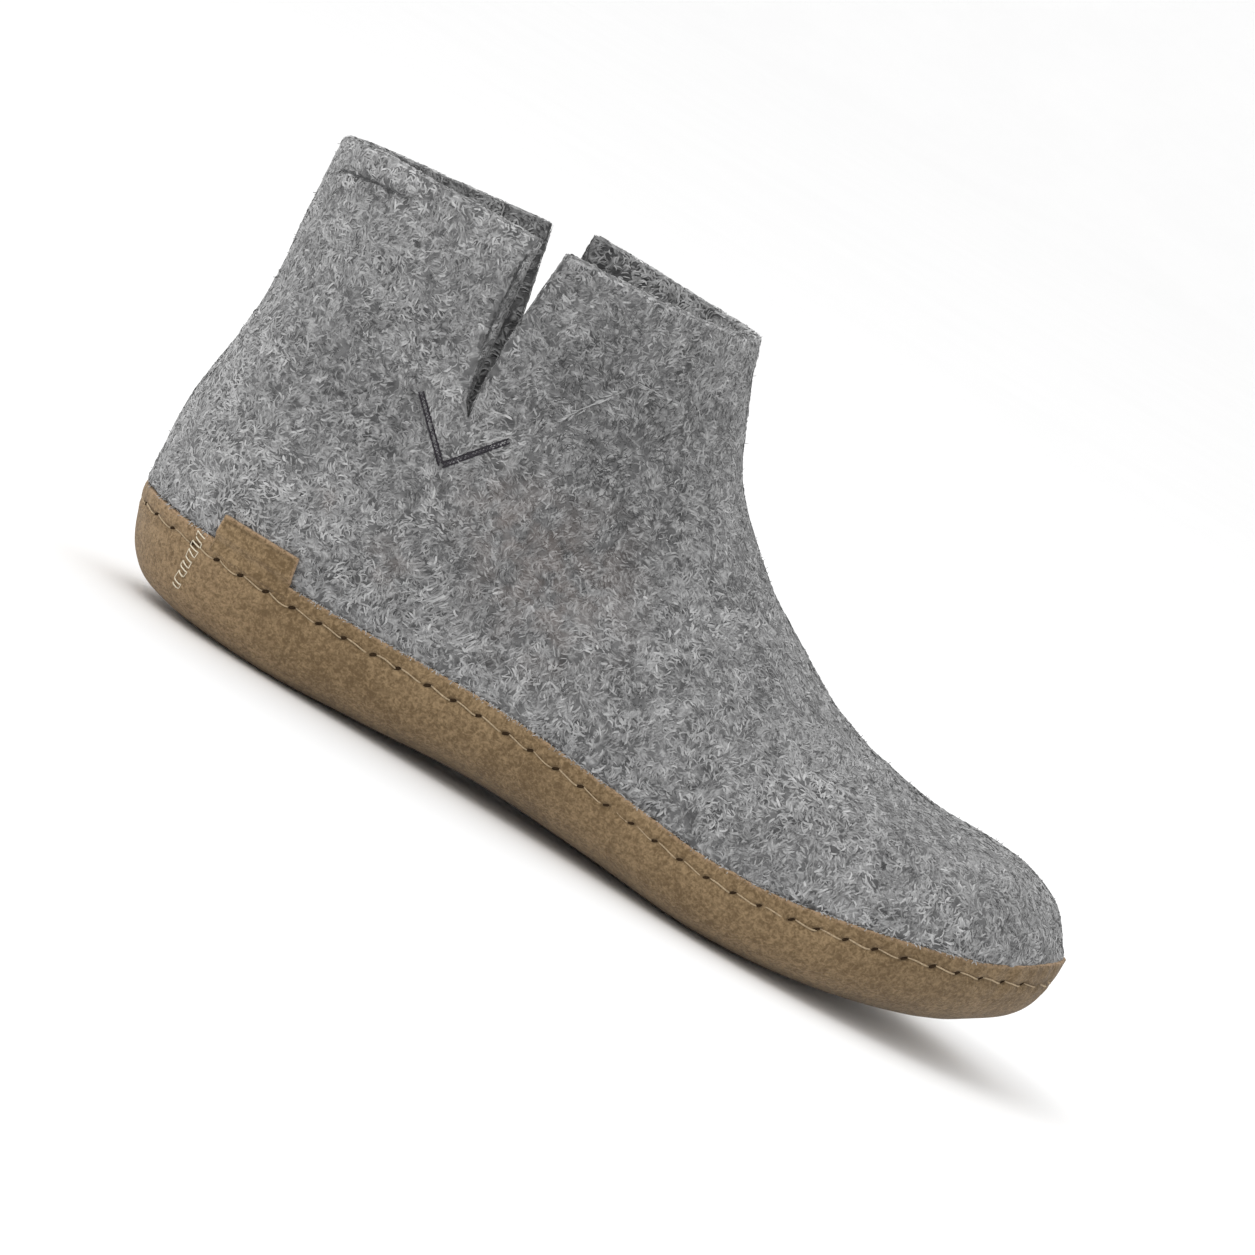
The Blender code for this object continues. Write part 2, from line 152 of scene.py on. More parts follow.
# Tab on the outer side of the heel: its ends and top in percent of LENGTH and COLLAR_HEIGHT, then its slant
# and how far it overlaps the sole, in millimetres
TAB_BACK = 9.3
TAB_FRONT = 17.6
TAB_TOP = 23.4
TAB_SLANT = 1.7
TAB_OVERLAP = 3.0

# Creases listed in the side view: side, half width and depth in millimetres (a ridge is negative),
# and the points it runs through as distances along and up.
COLLAR_FOLD = ((4.2, 125.4), (14.1, 126.6), (25.3, 127.9))
FRONT_RIDGE = ((87.6, 98.1), (98.1, 113.3), (100.4, 117.0), (112.0, 116.9))
CHEVRON_BARS = (((53.3, 87.0), (67.4, 72.9)), ((67.4, 72.9), (79.5, 87.4)))
CREASES = {
    "collar fold":    ("outer", 0.8, 0.8, COLLAR_FOLD),
    "front ridge":    ("outer", 1.1, -0.45, FRONT_RIDGE),
    "ankle hollow":   ("both", 9.0, 1.1, ((112.0, 99.0), (125.0, 106.0))),
    "heel hollow":    ("both", 10.0, 1.0, ((26.0, 80.0), (36.0, 90.0))),
    "instep hollow":  ("both", 12.0, 0.8, ((139.0, 70.0), (155.0, 82.0))),
    "slit lip back":  ("both", 4.0, -0.5, ((63.0, 92.0), (57.5, 118.0))),
    "slit lip front": ("both", 4.5, -0.6, ((72.0, 90.0), (71.0, 116.0))),
    "slit furrow":    ("both", 2.2, 0.9, ((64.6, 94.0), (67.3, 86.0))),
    "chevron back":   ("both", 1.3, 0.5, CHEVRON_BARS[0]),
    "chevron front":  ("both", 1.3, 0.5, CHEVRON_BARS[1]),
    "vamp break":     ("both", 7.0, 0.45, ((180.0, 40.0), (198.0, 58.0))),
}
# Painted light and shade, and lighter and darker wool, set in the same way: side, half width, share of the
# shades and path
PAINTED_LIGHT_AND_TONES = {
    # Painted light and shade: paler where the light falls on the heel and the back edge, darker on the side,
    # the back of the shaft and the front of the ankle
    "heel":        ("both", 26.0, 0.12, ((8.0, 42.0), (22.0, 58.0))),
    "side":        ("both", 13.0, -0.12, ((30.0, 62.0), (52.0, 62.0), (80.0, 45.0), (118.0, 49.0))),
    "ankle front": ("both", 24.0, -0.30, ((110.0, 84.0), (98.0, 110.0))),
    "back shaft":  ("both", 14.0, -0.09, ((38.0, 96.0), (42.0, 120.0))),
    "back edge":   ("both", 12.0, 0.11, ((4.0, 74.0), (2.0, 100.0), (6.0, 124.0))),
    # Darker blotches of the wool
    "heel blotch": ("outer", 8.0, -0.28, ((35.0, 80.0), (38.0, 84.0))),
    "slit blotch": ("outer", 7.0, -0.15, ((74.0, 122.0), (81.0, 125.0))),
    "low blotch":  ("outer", 8.0, -0.13, ((51.0, 73.0), (58.0, 76.0))),
    "fore blotch": ("outer", 8.0, -0.13, ((109.0, 98.0), (116.0, 102.0))),
    "arch blotch": ("outer", 8.0, -0.10, ((88.0, 60.0), (95.0, 58.0))),
    # Painted light and shade: paler at the ball and on the inside of the far collar, a little darker at the
    # toe
    "ball":        ("both", 9.0, 0.12, ((194.0, 42.0), (204.0, 40.0))),
    "far collar":  ("inner", 14.0, 0.28, ((88.0, 134.0), (120.0, 138.0))),
    "toe":         ("both", 26.0, -0.01, ((210.0, 55.0), (262.0, 50.0))),
    # Painted shade beside the slit's crack, a painted highlight along the front ridge and painted shade in
    # the collar's fold
    "slit shade":  ("both", 1.6, -0.35, ((62.6, 100.0), (65.2, 89.5))),
    "front ridge": ("outer", 0.8, 0.30, FRONT_RIDGE),
    "collar fold": ("outer", 0.5, -0.30, COLLAR_FOLD),
    # Darker blotches of the wool
    "toe blotch":  ("outer", 1.8, -0.3, ((216.6, 44.7), (218.4, 45.0))),
    "side blotch": ("outer", 3.0, -0.25, ((138.0, 46.5), (142.0, 47.5))),
    "vamp blotch": ("outer", 2.5, -0.25, ((161.0, 67.0), (163.0, 70.0))),
}
# Lines of strands on the outer side: how many, their shade, how far they wander and the path
STRAND_LINES = {
    # A painted highlight along the front ridge and painted shade in the collar's fold
    "front ridge": (36, 0.66, 0.36, FRONT_RIDGE),
    "collar fold": (60, 0.02, 0.2, COLLAR_FOLD),
    # Dark specks of the wool
    "shaft speck": (16, 0.0, 0.3, ((33.0, 119.6), (34.0, 119.9))),
    "toe speck":   (12, 0.0, 0.25, ((218.1, 41.1), (218.9, 41.6))),
}
# The creases begin above the rim's roll and reach their depth over this height.
CREASE_START = 3.0
CREASE_RISE = 6.0

# Faint brown blotches of the wool on the outer side: along, up, size and strength
STAINS = ((109.0, 62.0, 34.0, 0.22), (86.0, 70.0, 20.0, 0.16), (46.0, 50.0, 6.0, 0.30),
          (68.0, 44.0, 12.0, 0.18))
STAIN_SIDE = -40.0

# Waves of the hand-felted wall in millimetres, patches of paler wool as shares of the shades, and turns of
# the strands in radians: amount, size and seed of each
FELT_WAVES = ((0.42, 19.0, 1), (0.2, 6.5, 2))
WOOL_TUFTS = ((0.28, 1.7, 7), (0.13, 6.5, 3), (0.09, 17.0, 4))
STRAND_FLOW = ((4.0, 16.0, 5), (2.0, 6.0, 6))

# The felt's roll over the rim: where it starts below the rim, its fullest height and the ease beside the tab
ROLL_START = 0.4
SWELL_HEIGHT = 1.6
TAB_EASE = 3.0
# How far the cut edges swell out, and the wool on the cut faces stands out over them
LIP_POWER = 3
COLLAR_LIP = 0.55
SLIT_LIP = 0.2
SLIT_LIP_ROWS = 9
SLIT_WOOL = 0.38
COLLAR_WOOL = 0.6

# Wool strands: ranges are shares of the usual length, width and rise; shades run from 0, dark, to 1, light
STRAND_LENGTHS = (0.5, 1.6)
STRAND_WIDTHS = (0.55, 1.4)
STRAND_END_WIDTH = 0.4
STRAND_BEND = 0.55
STRAND_STRAY = 0.55
STRAND_SHADE = 0.42
SHADE_SPREAD = 0.13
DARKEST = 0.02
STRAND_SINK = 0.05
STRAND_RISE = 0.22
STRAND_RISES = (0.6, 1.3)
STRAND_TILT = 0.3
# Strands start this far above the rim and end no further below it than the overhang.
RIM_CLEAR = 0.4
RIM_OVERHANG = 0.3
# Painted highlight: paler wool close under the collar
EDGE_TONE = 0.5
EDGE_BAND = 1.5
# Wool on the inner face and on the cut faces of the slits and the collar; places are shares of the way in
# Painted light and shade on the inner face: lighter close under the collar, darker deeper in
INSIDE_TONE = 0.16
INSIDE_DARKENING = 0.36
SLIT_FREE_FOOT = 0.2
SLIT_FREE_TOP = 0.1
FACE_OVERRUN = 0.04
# Painted light on the slits' cut faces, with painted shade deep in them and at their outer edge
SLIT_TONE = 0.1
SLIT_DEEP_TONE = 0.3
SLIT_DEEP_START = 0.6
SLIT_EDGE_TONE = 0.12
SLIT_EDGE_BAND = 0.12
# A painted highlight on the collar's cut face
COLLAR_TONE = 0.18
COLLAR_STARTS = (0.05, 0.95)
COLLAR_END = 0.97
# Dark strands on the outer slit, painted shade in its fold: the share of the slit that they run over, and
# their place on the cut face
SLIT_LINE_RUN = (0.35, 0.85)
SLIT_LINE_INWARD = 0.03
SLIT_LINE_LENGTHS = (0.8, 1.4)
SLIT_LINE_WIDTH = 0.8
SLIT_LINE_RISE = 0.25
SLIT_LINE_STRAY = 0.15
SLIT_LINE_SHADES = (0.0, 0.12)
# Other lines of strands
LINE_LIFT = 0.2
LINE_WIDTH = 0.65
LINE_SHADE_SPREAD = 0.06
# Loose hairs at the collar, at the rim and all over the felt: how far they lean up and out, and their length
FUZZ_UP = (0.7, -0.7, 0.0)
FUZZ_OUT = (0.1, 0.7, 0.5)
FUZZ_LENGTH = (0.7, 1.5, 1.3)
FUZZ_LENGTHS = (0.5, 1.0)
FUZZ_BEND = (0.2, 0.9)
FUZZ_CURL = 0.7
FUZZ_WIDTH = 0.6
FUZZ_SHADES = (0.3, 0.95)
FUZZ_STRAY_UP = 0.4
FUZZ_STRAY_ASIDE = 0.9
FUZZ_ROOT = 0.1
FUZZ_COLLAR_RISE = 0.2
FUZZ_RIM_HEIGHT = 0.5
FUZZ_TOE_LIMIT = 0.3
FUZZ_COLLAR_BAND = 0.05

# Heel seam in the leather, from the rim down, as distances along and up
HEEL_SEAM = ((21.9, 25.4), (22.1, 9.2))

# Sewing of the rim and the heel
SEAM_START = 2.6
SEAM_WANDER = 0.25
HOLE_LENGTH = 2.4
HOLE_SLANT = math.radians(32)
HOLE_RADIUS = 0.5
HOLE_SINK = 0.7
THREAD_DIP = 0.75
THREAD_RISES = (0.45, 0.75)
THREAD_START = 0.1
THREAD_SPAN = 0.82
THREAD_SLANT = 0.4
THREAD_SWAY = 0.16
THREAD_WIDTHS = (0.8, 1.15)
WHIP_THREAD = 0.4
WHIP_LENGTHS = (0.8, 1.2)
WHIP_FIRST = 1.4
WHIP_STRAY = 0.025
WHIP_SLOPE = -18
WHIP_SLOPE_SPREAD = 7
WHIP_RISE = 0.2
WHIP_DIP = 0.55
WHIP_HOP = -0.1
# Chevron: length, radius, rise and dip of a line's stitches; step, inset, radius and rise of its zigzag
CHEVRON_STITCH = 2.3
CHEVRON_THREAD = 0.25
CHEVRON_RISE = 0.3
CHEVRON_DIP = 0.4
ZIGZAG_STEP = 0.5
ZIGZAG_INSET = 0.2
ZIGZAG_THREAD = 0.17
ZIGZAG_RISE = 0.08
ZIGZAG_PALER = 2.3
# How far the leather's rim turns up at the tip of the toe, where along the foot this starts, and its run
TOE_LIFT = 2.0
TOE_LIFT_START = 252.0
TOE_LIFT_EASE = 20.0
TOE_LIFT_BAND = 3.0
# Round the toe the nap closes this share of the stitch holes.
HOLE_CLOSING = 0.65
HOLE_CLOSING_START = 248.0
HOLE_CLOSING_EASE = 14.0

# Relief of the suede: half width and depth of its troughs, and distance, half width and height of the ridge
SEAM_TROUGH = (0.9, 0.3)
HOLE_TROUGH = (0.6, 0.45)
HEEL_SEAM_TROUGH = (0.9, 0.3)
SEAM_RIDGE = (2.1, 1.1, 0.16)
SUEDE_WAVES = 0.5
# Painted shade in the stitch holes and along the seam, and how far it reaches
HOLE_SHADE = 0.5
SEAM_SHADE = 0.16
SHADE_REACH = 0.5
# Gathers round the toe: where they start and fade, and the height, number and start of their folds
GATHER_START = 236.0
GATHER_EASE = 26.0
GATHER_DROP = 13.0
GATHER_CENTRE = (225.0, 5.0)
GATHER_FOLDS = ((0.22, 46, 0.0), (0.14, 29, 1.0))
# The relief fades out over the floor.
FLOOR_CLEAR = 1.0
FLOOR_EASE = 6.0
# Paler suede at the cut rim and the heel, with half widths, and darker suede from two places along the foot
RIM_LIP = 0.22
RIM_PALE = 0.75
RIM_PALE_WIDTH = 0.55
CUT_PALE = 0.9
HEEL_PALE = 0.16
HEEL_RIM_PALE = 0.35
HEEL_RIM_WIDTH = 2.6
HEEL_PALE_END = (20.0, 40.0)
SUEDE_DARKER = ((50.0, 30.0, 0.05), (215.0, 30.0, 0.15))

# Tab: height over the rim where it is free of the sole, its crease below the top, its waves and its cut edges
TAB_FREE = 1.5
TAB_FOLD_DROP = 1.2
TAB_FOLD_WIDTH = 0.3
TAB_FOLD_DEPTH = 0.24
# Painted shade in the tab's crease
TAB_FOLD_SHADE = 0.3
TAB_WAVE = 0.12
TAB_PROUD = 0.03
TAB_THICK_START = 0.35
TAB_THICK_EASE = 0.6
TAB_FOOT = 0.02
TAB_LIP = 0.2
TAB_PALE = 0.8
TAB_PALE_WIDTH = 0.4
TAB_CUT_PALE = 0.95

# Insole: where it is trodden in, as distance along and half length, and the rounding of its edge
TRODDEN = ((45.0, 24.0), (190.0, 30.0))
TRODDEN_WIDTH = 24.0
TRODDEN_DEPTH = 0.7
INSOLE_ROUND = 0.7
INSOLE_ROUND_START = 0.9
INSOLE_WAVES = 0.4

# Stage in metres: the floor's front, half width, depth, bend and wall, then the lights with size and power
FLOOR_FRONT = -4.0
FLOOR_HALF_WIDTH = 15.0
FLOOR_REACH = 14.0
FLOOR_BEND = 5.0
FLOOR_WALL = 12.0
FLOOR_STEPS = 25
LIGHTS = {
    "key":  ((-1.0, -1.1, 1.6), 1.2, 13.0),
    "back": ((0.2, 1.0, 1.8), 1.6, 3.0),
}
LIGHT_AIM = (0.0, 0.0, 0.06)
SKY_STRENGTH = 1.03
PICTURE_MIDDLE = (-0.0070, 0.0, 0.0571)
PICTURE_WIDTH = 0.3332
SENSOR_WIDTH = 36.0
CLIP_END = 60.0

# Mesh fineness
UPPER_ROWS = 205
WALL_COLUMNS = 4
BACK_COLUMNS = 50
FRONT_COLUMNS = 42
SOLE_ROWS = 310
RIM_COLUMNS = 16
UNDER_COLUMNS = 14
RIM_BAND = 8.0
RIM_BAND_MOST = 0.6
INSOLE_ROWS = 90
INSOLE_COLUMNS = 14
TAB_COLUMNS = 44
TAB_ROWS = 30
CURVE_SAMPLES = 240
RING_SAMPLES = 800
LATTICE = 32
STRAND_PIECES = 3
STRAND_POINTS = 4
INSIDE_STRANDS = 7000
SLIT_STRANDS = 520
SLIT_LINE_STRANDS = 45
COLLAR_STRANDS = 1500
INSIDE_BAND = 18.0
TIP_STEP = 0.001
SLOPE_STEP = 0.001
SEARCH_HALVINGS = 44
WELD_DECIMALS = 4
EVEN_SAMPLES = 900
EVEN_COLUMNS = 60
SLIT_ROUNDS = 8
START_SAMPLES = 500
START_FIRST = 0.1
START_LAST = 0.02
FACE_STEP = 0.01
NEAREST_BATCH = 2000
# Limits of the section places and turns that a strand may reach, and the gap left beside a slit's edges
STRAND_FIRST = 0.02
STRAND_LAST = 0.005
STRAND_TURN = 0.5
SLIT_GAP_BACK = 0.006
SLIT_GAP_FRONT = 0.004
# Seeds of the random draws
STRAND_SEED = 11
INSIDE_SEED = 31
LINE_SEED = 37
FUZZ_SEED = 23
SEAM_SEED = 17
THREAD_SEED = 19
WHIP_SEED = 5
# Shares of the way round a cut edge, from its outer face to its inner face
LIP_SHARES = (0.05, 0.2, 0.5, 0.8, 0.95)


class FeltBootSizes(bpy.types.PropertyGroup):
    """Sizes of the felt, the suede and the sewing."""
    strand_count: IntProperty(
        name="Strands", description="Wool strands in each of the layers on the felt", default=31000,
        min=0, max=33000)
    strand_length: FloatProperty(
        name="Strand length", description="Usual length of a wool strand", default=0.0022,
        unit="LENGTH", subtype="DISTANCE")
    strand_width: FloatProperty(
        name="Strand width", description="Usual width of a wool strand", default=0.0005,
        unit="LENGTH", subtype="DISTANCE")
    fuzz_count: IntProperty(
        name="Fuzz", description="Loose hairs at the collar, at the rim and on the felt", default=5200, min=0)
    stitch_pitch: FloatProperty(
        name="Stitch pitch", description="Distance between the holes of the rim's seam", default=0.0081,
        unit="LENGTH", subtype="DISTANCE")
    stitch_drop: FloatProperty(
        name="Stitch drop", description="Height of the rim over its seam", default=0.0042,
        unit="LENGTH", subtype="DISTANCE")
    thread_width: FloatProperty(
        name="Thread width", description="Width of the rim's thread", default=0.00042,
        unit="LENGTH", subtype="DISTANCE")
    whip_count: IntProperty(
        name="Whip stitches", description="Stitches in each heel seam", default=11, min=2)
    whip_length: FloatProperty(
        name="Whip stitch length", description="Length of a stitch of the heel seam", default=0.0025,
        unit="LENGTH", subtype="DISTANCE")
    chevron_width: FloatProperty(
        name="Chevron width", description="Distance between the two lines of a bar", default=0.0012,
        unit="LENGTH", subtype="DISTANCE")
    camera_distance: FloatProperty(
        name="Camera distance", description="Distance of the camera from the boot", default=1.6,
        unit="LENGTH", subtype="DISTANCE")
    camera_azimuth: FloatProperty(
        name="Camera azimuth", description="Turn of the camera towards the toe", default=math.radians(1.0),
        unit="ROTATION", subtype="ANGLE")
    camera_elevation: FloatProperty(
        name="Camera elevation", description="Height of the camera as an angle", default=math.radians(6.0),
        unit="ROTATION", subtype="ANGLE")
    camera_roll: FloatProperty(
        name="Camera roll", description="Turn of the picture, heel up", default=math.radians(30.2),
        unit="ROTATION", subtype="ANGLE")


class FeltBootColours(bpy.types.PropertyGroup):
    """Colours of the felt, the suede and the threads."""
    felt_dark: FloatVectorProperty(
        name="Dark wool", description="Wool between the strands", default=(0.052, 0.052, 0.053),
        subtype="COLOR", min=0, max=1)
    felt_mid: FloatVectorProperty(
        name="Grey wool", description="Usual grey of the wool", default=(0.155, 0.155, 0.156),
        subtype="COLOR", min=0, max=1)
    felt_light: FloatVectorProperty(
        name="Light wool", description="Palest strands of the wool", default=(0.50, 0.50, 0.50),
        subtype="COLOR", min=0, max=1)
    felt_stain: FloatVectorProperty(
        name="Brown wool", description="Faint brown blotches in the wool", default=(0.30, 0.235, 0.205),
        subtype="COLOR", min=0, max=1)
    suede_dark: FloatVectorProperty(
        name="Dark suede", description="Nap brushed one way", default=(0.136, 0.088, 0.042),
        subtype="COLOR", min=0, max=1)
    suede_light: FloatVectorProperty(
        name="Light suede", description="Nap brushed the other way", default=(0.306, 0.214, 0.117),
        subtype="COLOR", min=0, max=1)
    suede_edge: FloatVectorProperty(
        name="Cut edge", description="Cut edge of the suede", default=(0.40, 0.27, 0.165),
        subtype="COLOR", min=0, max=1)
    # Painted shade: the dark inside of a stitch hole, on the suede and on the pieces in the holes
    hole: FloatVectorProperty(
        name="Stitch hole", description="Inside of a stitch hole", default=(0.018, 0.011, 0.006),
        subtype="COLOR", min=0, max=1)
    rim_thread: FloatVectorProperty(
        name="Rim thread", description="Thread of the rim's seam", default=(0.48, 0.37, 0.24),
        subtype="COLOR", min=0, max=1)
    whip_thread: FloatVectorProperty(
        name="Heel thread", description="Thread of the heel seams", default=(0.78, 0.70, 0.55),
        subtype="COLOR", min=0, max=1)
    chevron_thread: FloatVectorProperty(
        name="Chevron thread", description="Thread of the chevrons", default=(0.032, 0.029, 0.035),
        subtype="COLOR", min=0, max=1)
    floor: FloatVectorProperty(
        name="Floor", description="Floor and backdrop", default=(0.97, 0.97, 0.97),
        subtype="COLOR", min=0, max=1)


# The boot's shape


def smooth_curve(places, values, at):
    """Read a table at places along it, on a smooth curve through its rows."""
    slopes = np.empty_like(values)
    slopes[1:-1] = ((values[2:] - values[:-2]).T / (places[2:] - places[:-2])).T
    slopes[0] = (values[1] - values[0]) / (places[1] - places[0])
    slopes[-1] = (values[-1] - values[-2]) / (places[-1] - places[-2])
    at = np.asarray(at, dtype=float)
    row = np.clip(np.searchsorted(places, at) - 1, 0, len(places) - 2)
    step = (places[row + 1] - places[row])[..., None]
    t = (at - places[row])[..., None] / step
    blend = 3 * t ** 2 - 2 * t ** 3
    return (values[row] * (1 - blend) + values[row + 1] * blend
            + slopes[row] * step * t * (1 - t) ** 2 - slopes[row + 1] * step * t ** 2 * (1 - t))


def section_table():
    """The sections in millimetres, with a row beyond each end so that the curve runs out smoothly."""
    scale = np.array([LENGTH, COLLAR_HEIGHT, LENGTH, COLLAR_HEIGHT,
                      BALL_WIDTH, BALL_WIDTH, BALL_WIDTH, 1, 100, 100]) / 100
    rows = np.array(list(SECTIONS.values())) * scale
    past_toe = rows[1].copy()
    past_toe[:4] = rows[1][[2, 3, 0, 1]]
    past_toe[4:6] = -rows[1][4:6]
    past_collar = 2 * rows[-1] - rows[-2]
    return np.vstack([past_toe, rows, past_collar])


SECTION_ROWS = section_table()
SECTION_PLACES = np.arange(-1, len(SECTIONS) + 1, dtype=float)
RIM_ROWS = np.array(RIM) / 100 * (LENGTH, COLLAR_HEIGHT)


def section(place):
    """The sizes of the sections at row numbers, whole or between rows."""
    values = smooth_curve(SECTION_PLACES, SECTION_ROWS, place)
    return {name: values[..., column] for column, name in enumerate(SECTION_COLUMNS)}


def rim_height(along):
    """Height of the sole's rim at distances from the back of the heel."""
    return smooth_curve(RIM_ROWS[:, 0], RIM_ROWS[:, 1:], along)[..., 0]


def wrapped(angle):
    """Angles between minus pi and pi."""
    return (angle + math.pi) % (2 * math.pi) - math.pi


def skin(place, angle):
    """Points on the felt's outer skin. Angles are 0 underneath, pi on top, negative on the inner side."""
    place, angle = np.broadcast_arrays(np.asarray(place, dtype=float), np.asarray(angle, dtype=float))
    size = section(place)
    angle = wrapped(angle)
    side = np.where(angle < 0, 1, -1)
    cosine = np.cos(angle)
    below = cosine > 0
    power = 2 / np.where(below, size["under_square"], size["top_square"])
    reach = np.abs(cosine) ** power
    widest = size["widest"]
    rise = np.where(below, widest * (1 - reach), widest + (1 - widest) * reach)
    half = np.where(side < 0, size["outer"], size["inner"])
    x = size["under_along"] + rise * (size["top_along"] - size["under_along"])
    y = size["shift"] + side * half * np.abs(np.sin(angle)) ** power
    z = np.maximum(size["under_up"] + rise * (size["top_up"] - size["under_up"]), FLAT_LEVEL)
    return np.stack([x, y, z], axis=-1)


def unit(vectors):
    """Vectors of length one."""
    return vectors / np.maximum(np.linalg.norm(vectors, axis=-1, keepdims=True), 1e-12)


def skin_normals(place, angle):
    """Outward directions of the skin."""
    place = np.maximum(place, TIP_STEP)
    along = skin(place + SLOPE_STEP, angle) - skin(np.maximum(place - SLOPE_STEP, 0), angle)
    around = skin(place, angle + SLOPE_STEP) - skin(place, angle - SLOPE_STEP)
    return unit(np.cross(around, along))


def smooth_step(value):
    """A soft step from 0 to 1."""
    value = np.clip(value, 0, 1)
    return value * value * (3 - 2 * value)


def nip_depth(points):
    """How far the felt is nipped in: all of NIP below the rim, none above the roll."""
    return NIP * (1 - smooth_step((points[..., 2] - rim_height(points[..., 0])) / NIP_ROLL))


def running_length(points):
    """Distances of a row of points from its start, along the row."""
    return np.concatenate([[0], np.cumsum(np.linalg.norm(np.diff(points, axis=0), axis=1))])


def line_distance(points, path):
    """Distance of points from a line through the points of a path."""
    path = np.asarray(path, dtype=float)
    nearest = np.full(points.shape[:-1], np.inf)
    for start, stop in zip(path, path[1:]):
        run = stop - start
        share = np.clip(((points - start) @ run) / (run @ run), 0, 1)
        nearest = np.minimum(nearest, np.linalg.norm(points - start - share[..., None] * run, axis=-1))
    return nearest


def patches(points, size, seed):
    """Soft random patches of about a size in millimetres, from minus one to one."""
    lattice = np.random.default_rng(seed).uniform(-1, 1, (LATTICE, LATTICE, LATTICE))
    spot = points / size + LATTICE
    base = np.floor(spot).astype(int)
    share = smooth_step(spot - base)
    total = 0.0
    for corner in np.ndindex(2, 2, 2):
        weight = np.where(np.array(corner) == 1, share, 1 - share).prod(axis=-1)
        total = total + weight * lattice[tuple(np.moveaxis((base + corner) % LATTICE, -1, 0))]
    return total


def waves(points, table):
    """Sum of the soft random patches of a table at points on the boot."""
    return sum(amount * patches(points, size, seed) for amount, size, seed in table)


def unevenness(points):
    """Slow waves of the hand-felted wall, in millimetres."""
    return waves(points, FELT_WAVES)


def collar_shift(place, angle, points):
    """Points moved up or down near the collar, so that it follows its own cut line."""
    lines = [np.interp(points[..., 0], *np.array(COLLAR_LINE[side]).T) for side in SIGNS]
    rise = np.where(wrapped(angle) > 0, *lines)
    near = smooth_step((place - COLLAR) / COLLAR_SECTIONS + 1)
    return points + np.stack([0 * rise, 0 * rise, rise * near], axis=-1)


def marks(points, table):
    """Sum of the soft marks of a table at points on the boot."""
    total = np.zeros(points.shape[:-1])
    for side, width, amount, path in table.values():
        here = 1.0 if side == "both" else (points[..., 1] < 0) == (side == "outer")
        total = total + here * amount * np.exp(-(line_distance(points[..., [0, 2]], path) / width) ** 2)
    return total


def relief(points):
    """Height of the felt over its smooth form, from its creases and its unevenness."""
    over_rim = points[..., 2] - rim_height(points[..., 0]) - CREASE_START
    return (unevenness(points) - marks(points, CREASES)) * smooth_step(over_rim / CREASE_RISE)


def felt_nip(points):
    """How far the felt is nipped in as it shows: it rolls out close over the rim, except behind the tab."""
    ends = np.array((TAB_BACK, TAB_FRONT)) / 100 * LENGTH
    along = points[..., 0]
    behind_tab = smooth_step((along - ends[0]) / TAB_EASE + 1) * smooth_step((ends[1] - along) / TAB_EASE + 1)
    behind_tab = behind_tab * (points[..., 1] < 0)
    roll = FELT_ROLL + (NIP_ROLL - FELT_ROLL) * behind_tab
    over = points[..., 2] - rim_height(along)
    swell = FELT_SWELL * np.exp(-((over - SWELL_HEIGHT) / SWELL_HEIGHT) ** 2) * (1 - behind_tab)
    return NIP * (1 - smooth_step((over + ROLL_START) / roll)) - swell


def layer(place, angle, height):
    """Points at a height over the nipped felt surface, below it if negative."""
    points = skin(place, angle)
    return points + skin_normals(place, angle) * (height - nip_depth(points))[..., None]


def felt_surface(place, angle, lift=0.0):
    """Points at a height over the felt as it shows, with its creases."""
    points = skin(place, angle)
    height = lift + relief(points) - felt_nip(points)
    return collar_shift(place, angle, points + skin_normals(place, angle) * height[..., None])


def felt_inside(place, angle, lift=0.0):
    """Points on the inner face of the felt wall, which follows half of the outer face's relief."""
    points = skin(place, angle)
    inner = points + skin_normals(place, angle) * (relief(points) / 2 - FELT - lift)[..., None]
    return collar_shift(place, angle, inner)


def tread_half_width(place, side):
    """Half width of the tread at a section, falling to nothing at its rounded ends."""
    middle = (TREAD_TOE + TREAD_HEEL) / 2
    reach = abs(place - middle) / (TREAD_HEEL - middle)
    if reach >= 1:
        return 0.0
    return TREAD_SHARE * float(section(place)[side]) * math.sqrt(1 - reach ** TREAD_ROUNDING)


def first_crossing(angles, heights):
    """The angle at which heights first rise above zero."""
    above = int(np.argmax(heights > 0))
    if above == 0:
        return 0.0
    share = -heights[above - 1] / (heights[above] - heights[above - 1])
    return angles[above - 1] + share * (angles[above] - angles[above - 1])


def edge_angles(place, side, inset=0.0):
    """Angles of the tread's edge and of the sole's rim on one side of a section."""
    sign = SIGNS[side]
    read_at = max(place, TIP_STEP)
    angles = np.linspace(0, math.pi, CURVE_SAMPLES)
    points = skin(read_at, sign * angles)
    tread = 0.0
    half = tread_half_width(place, side) - inset
    if half > 0:
        tread = first_crossing(angles, np.abs(points[:, 1] - section(read_at)["shift"]) - half)
    rim = 0.0
    if place < HEEL_RIM:
        rim = first_crossing(angles, points[:, 2] - rim_height(points[:, 0]))
    return tread, rim


def spread(place, sign, start, stop, shares):
    """Angles from start to stop at the given shares of the way along the skin."""
    angles = np.linspace(start, stop, CURVE_SAMPLES)
    points = skin(max(place, TIP_STEP), sign * angles)
    way = running_length(points)
    if way[-1] == 0:
        return np.full(len(shares), start)
    return np.interp(np.array(shares) * way[-1], way, angles)


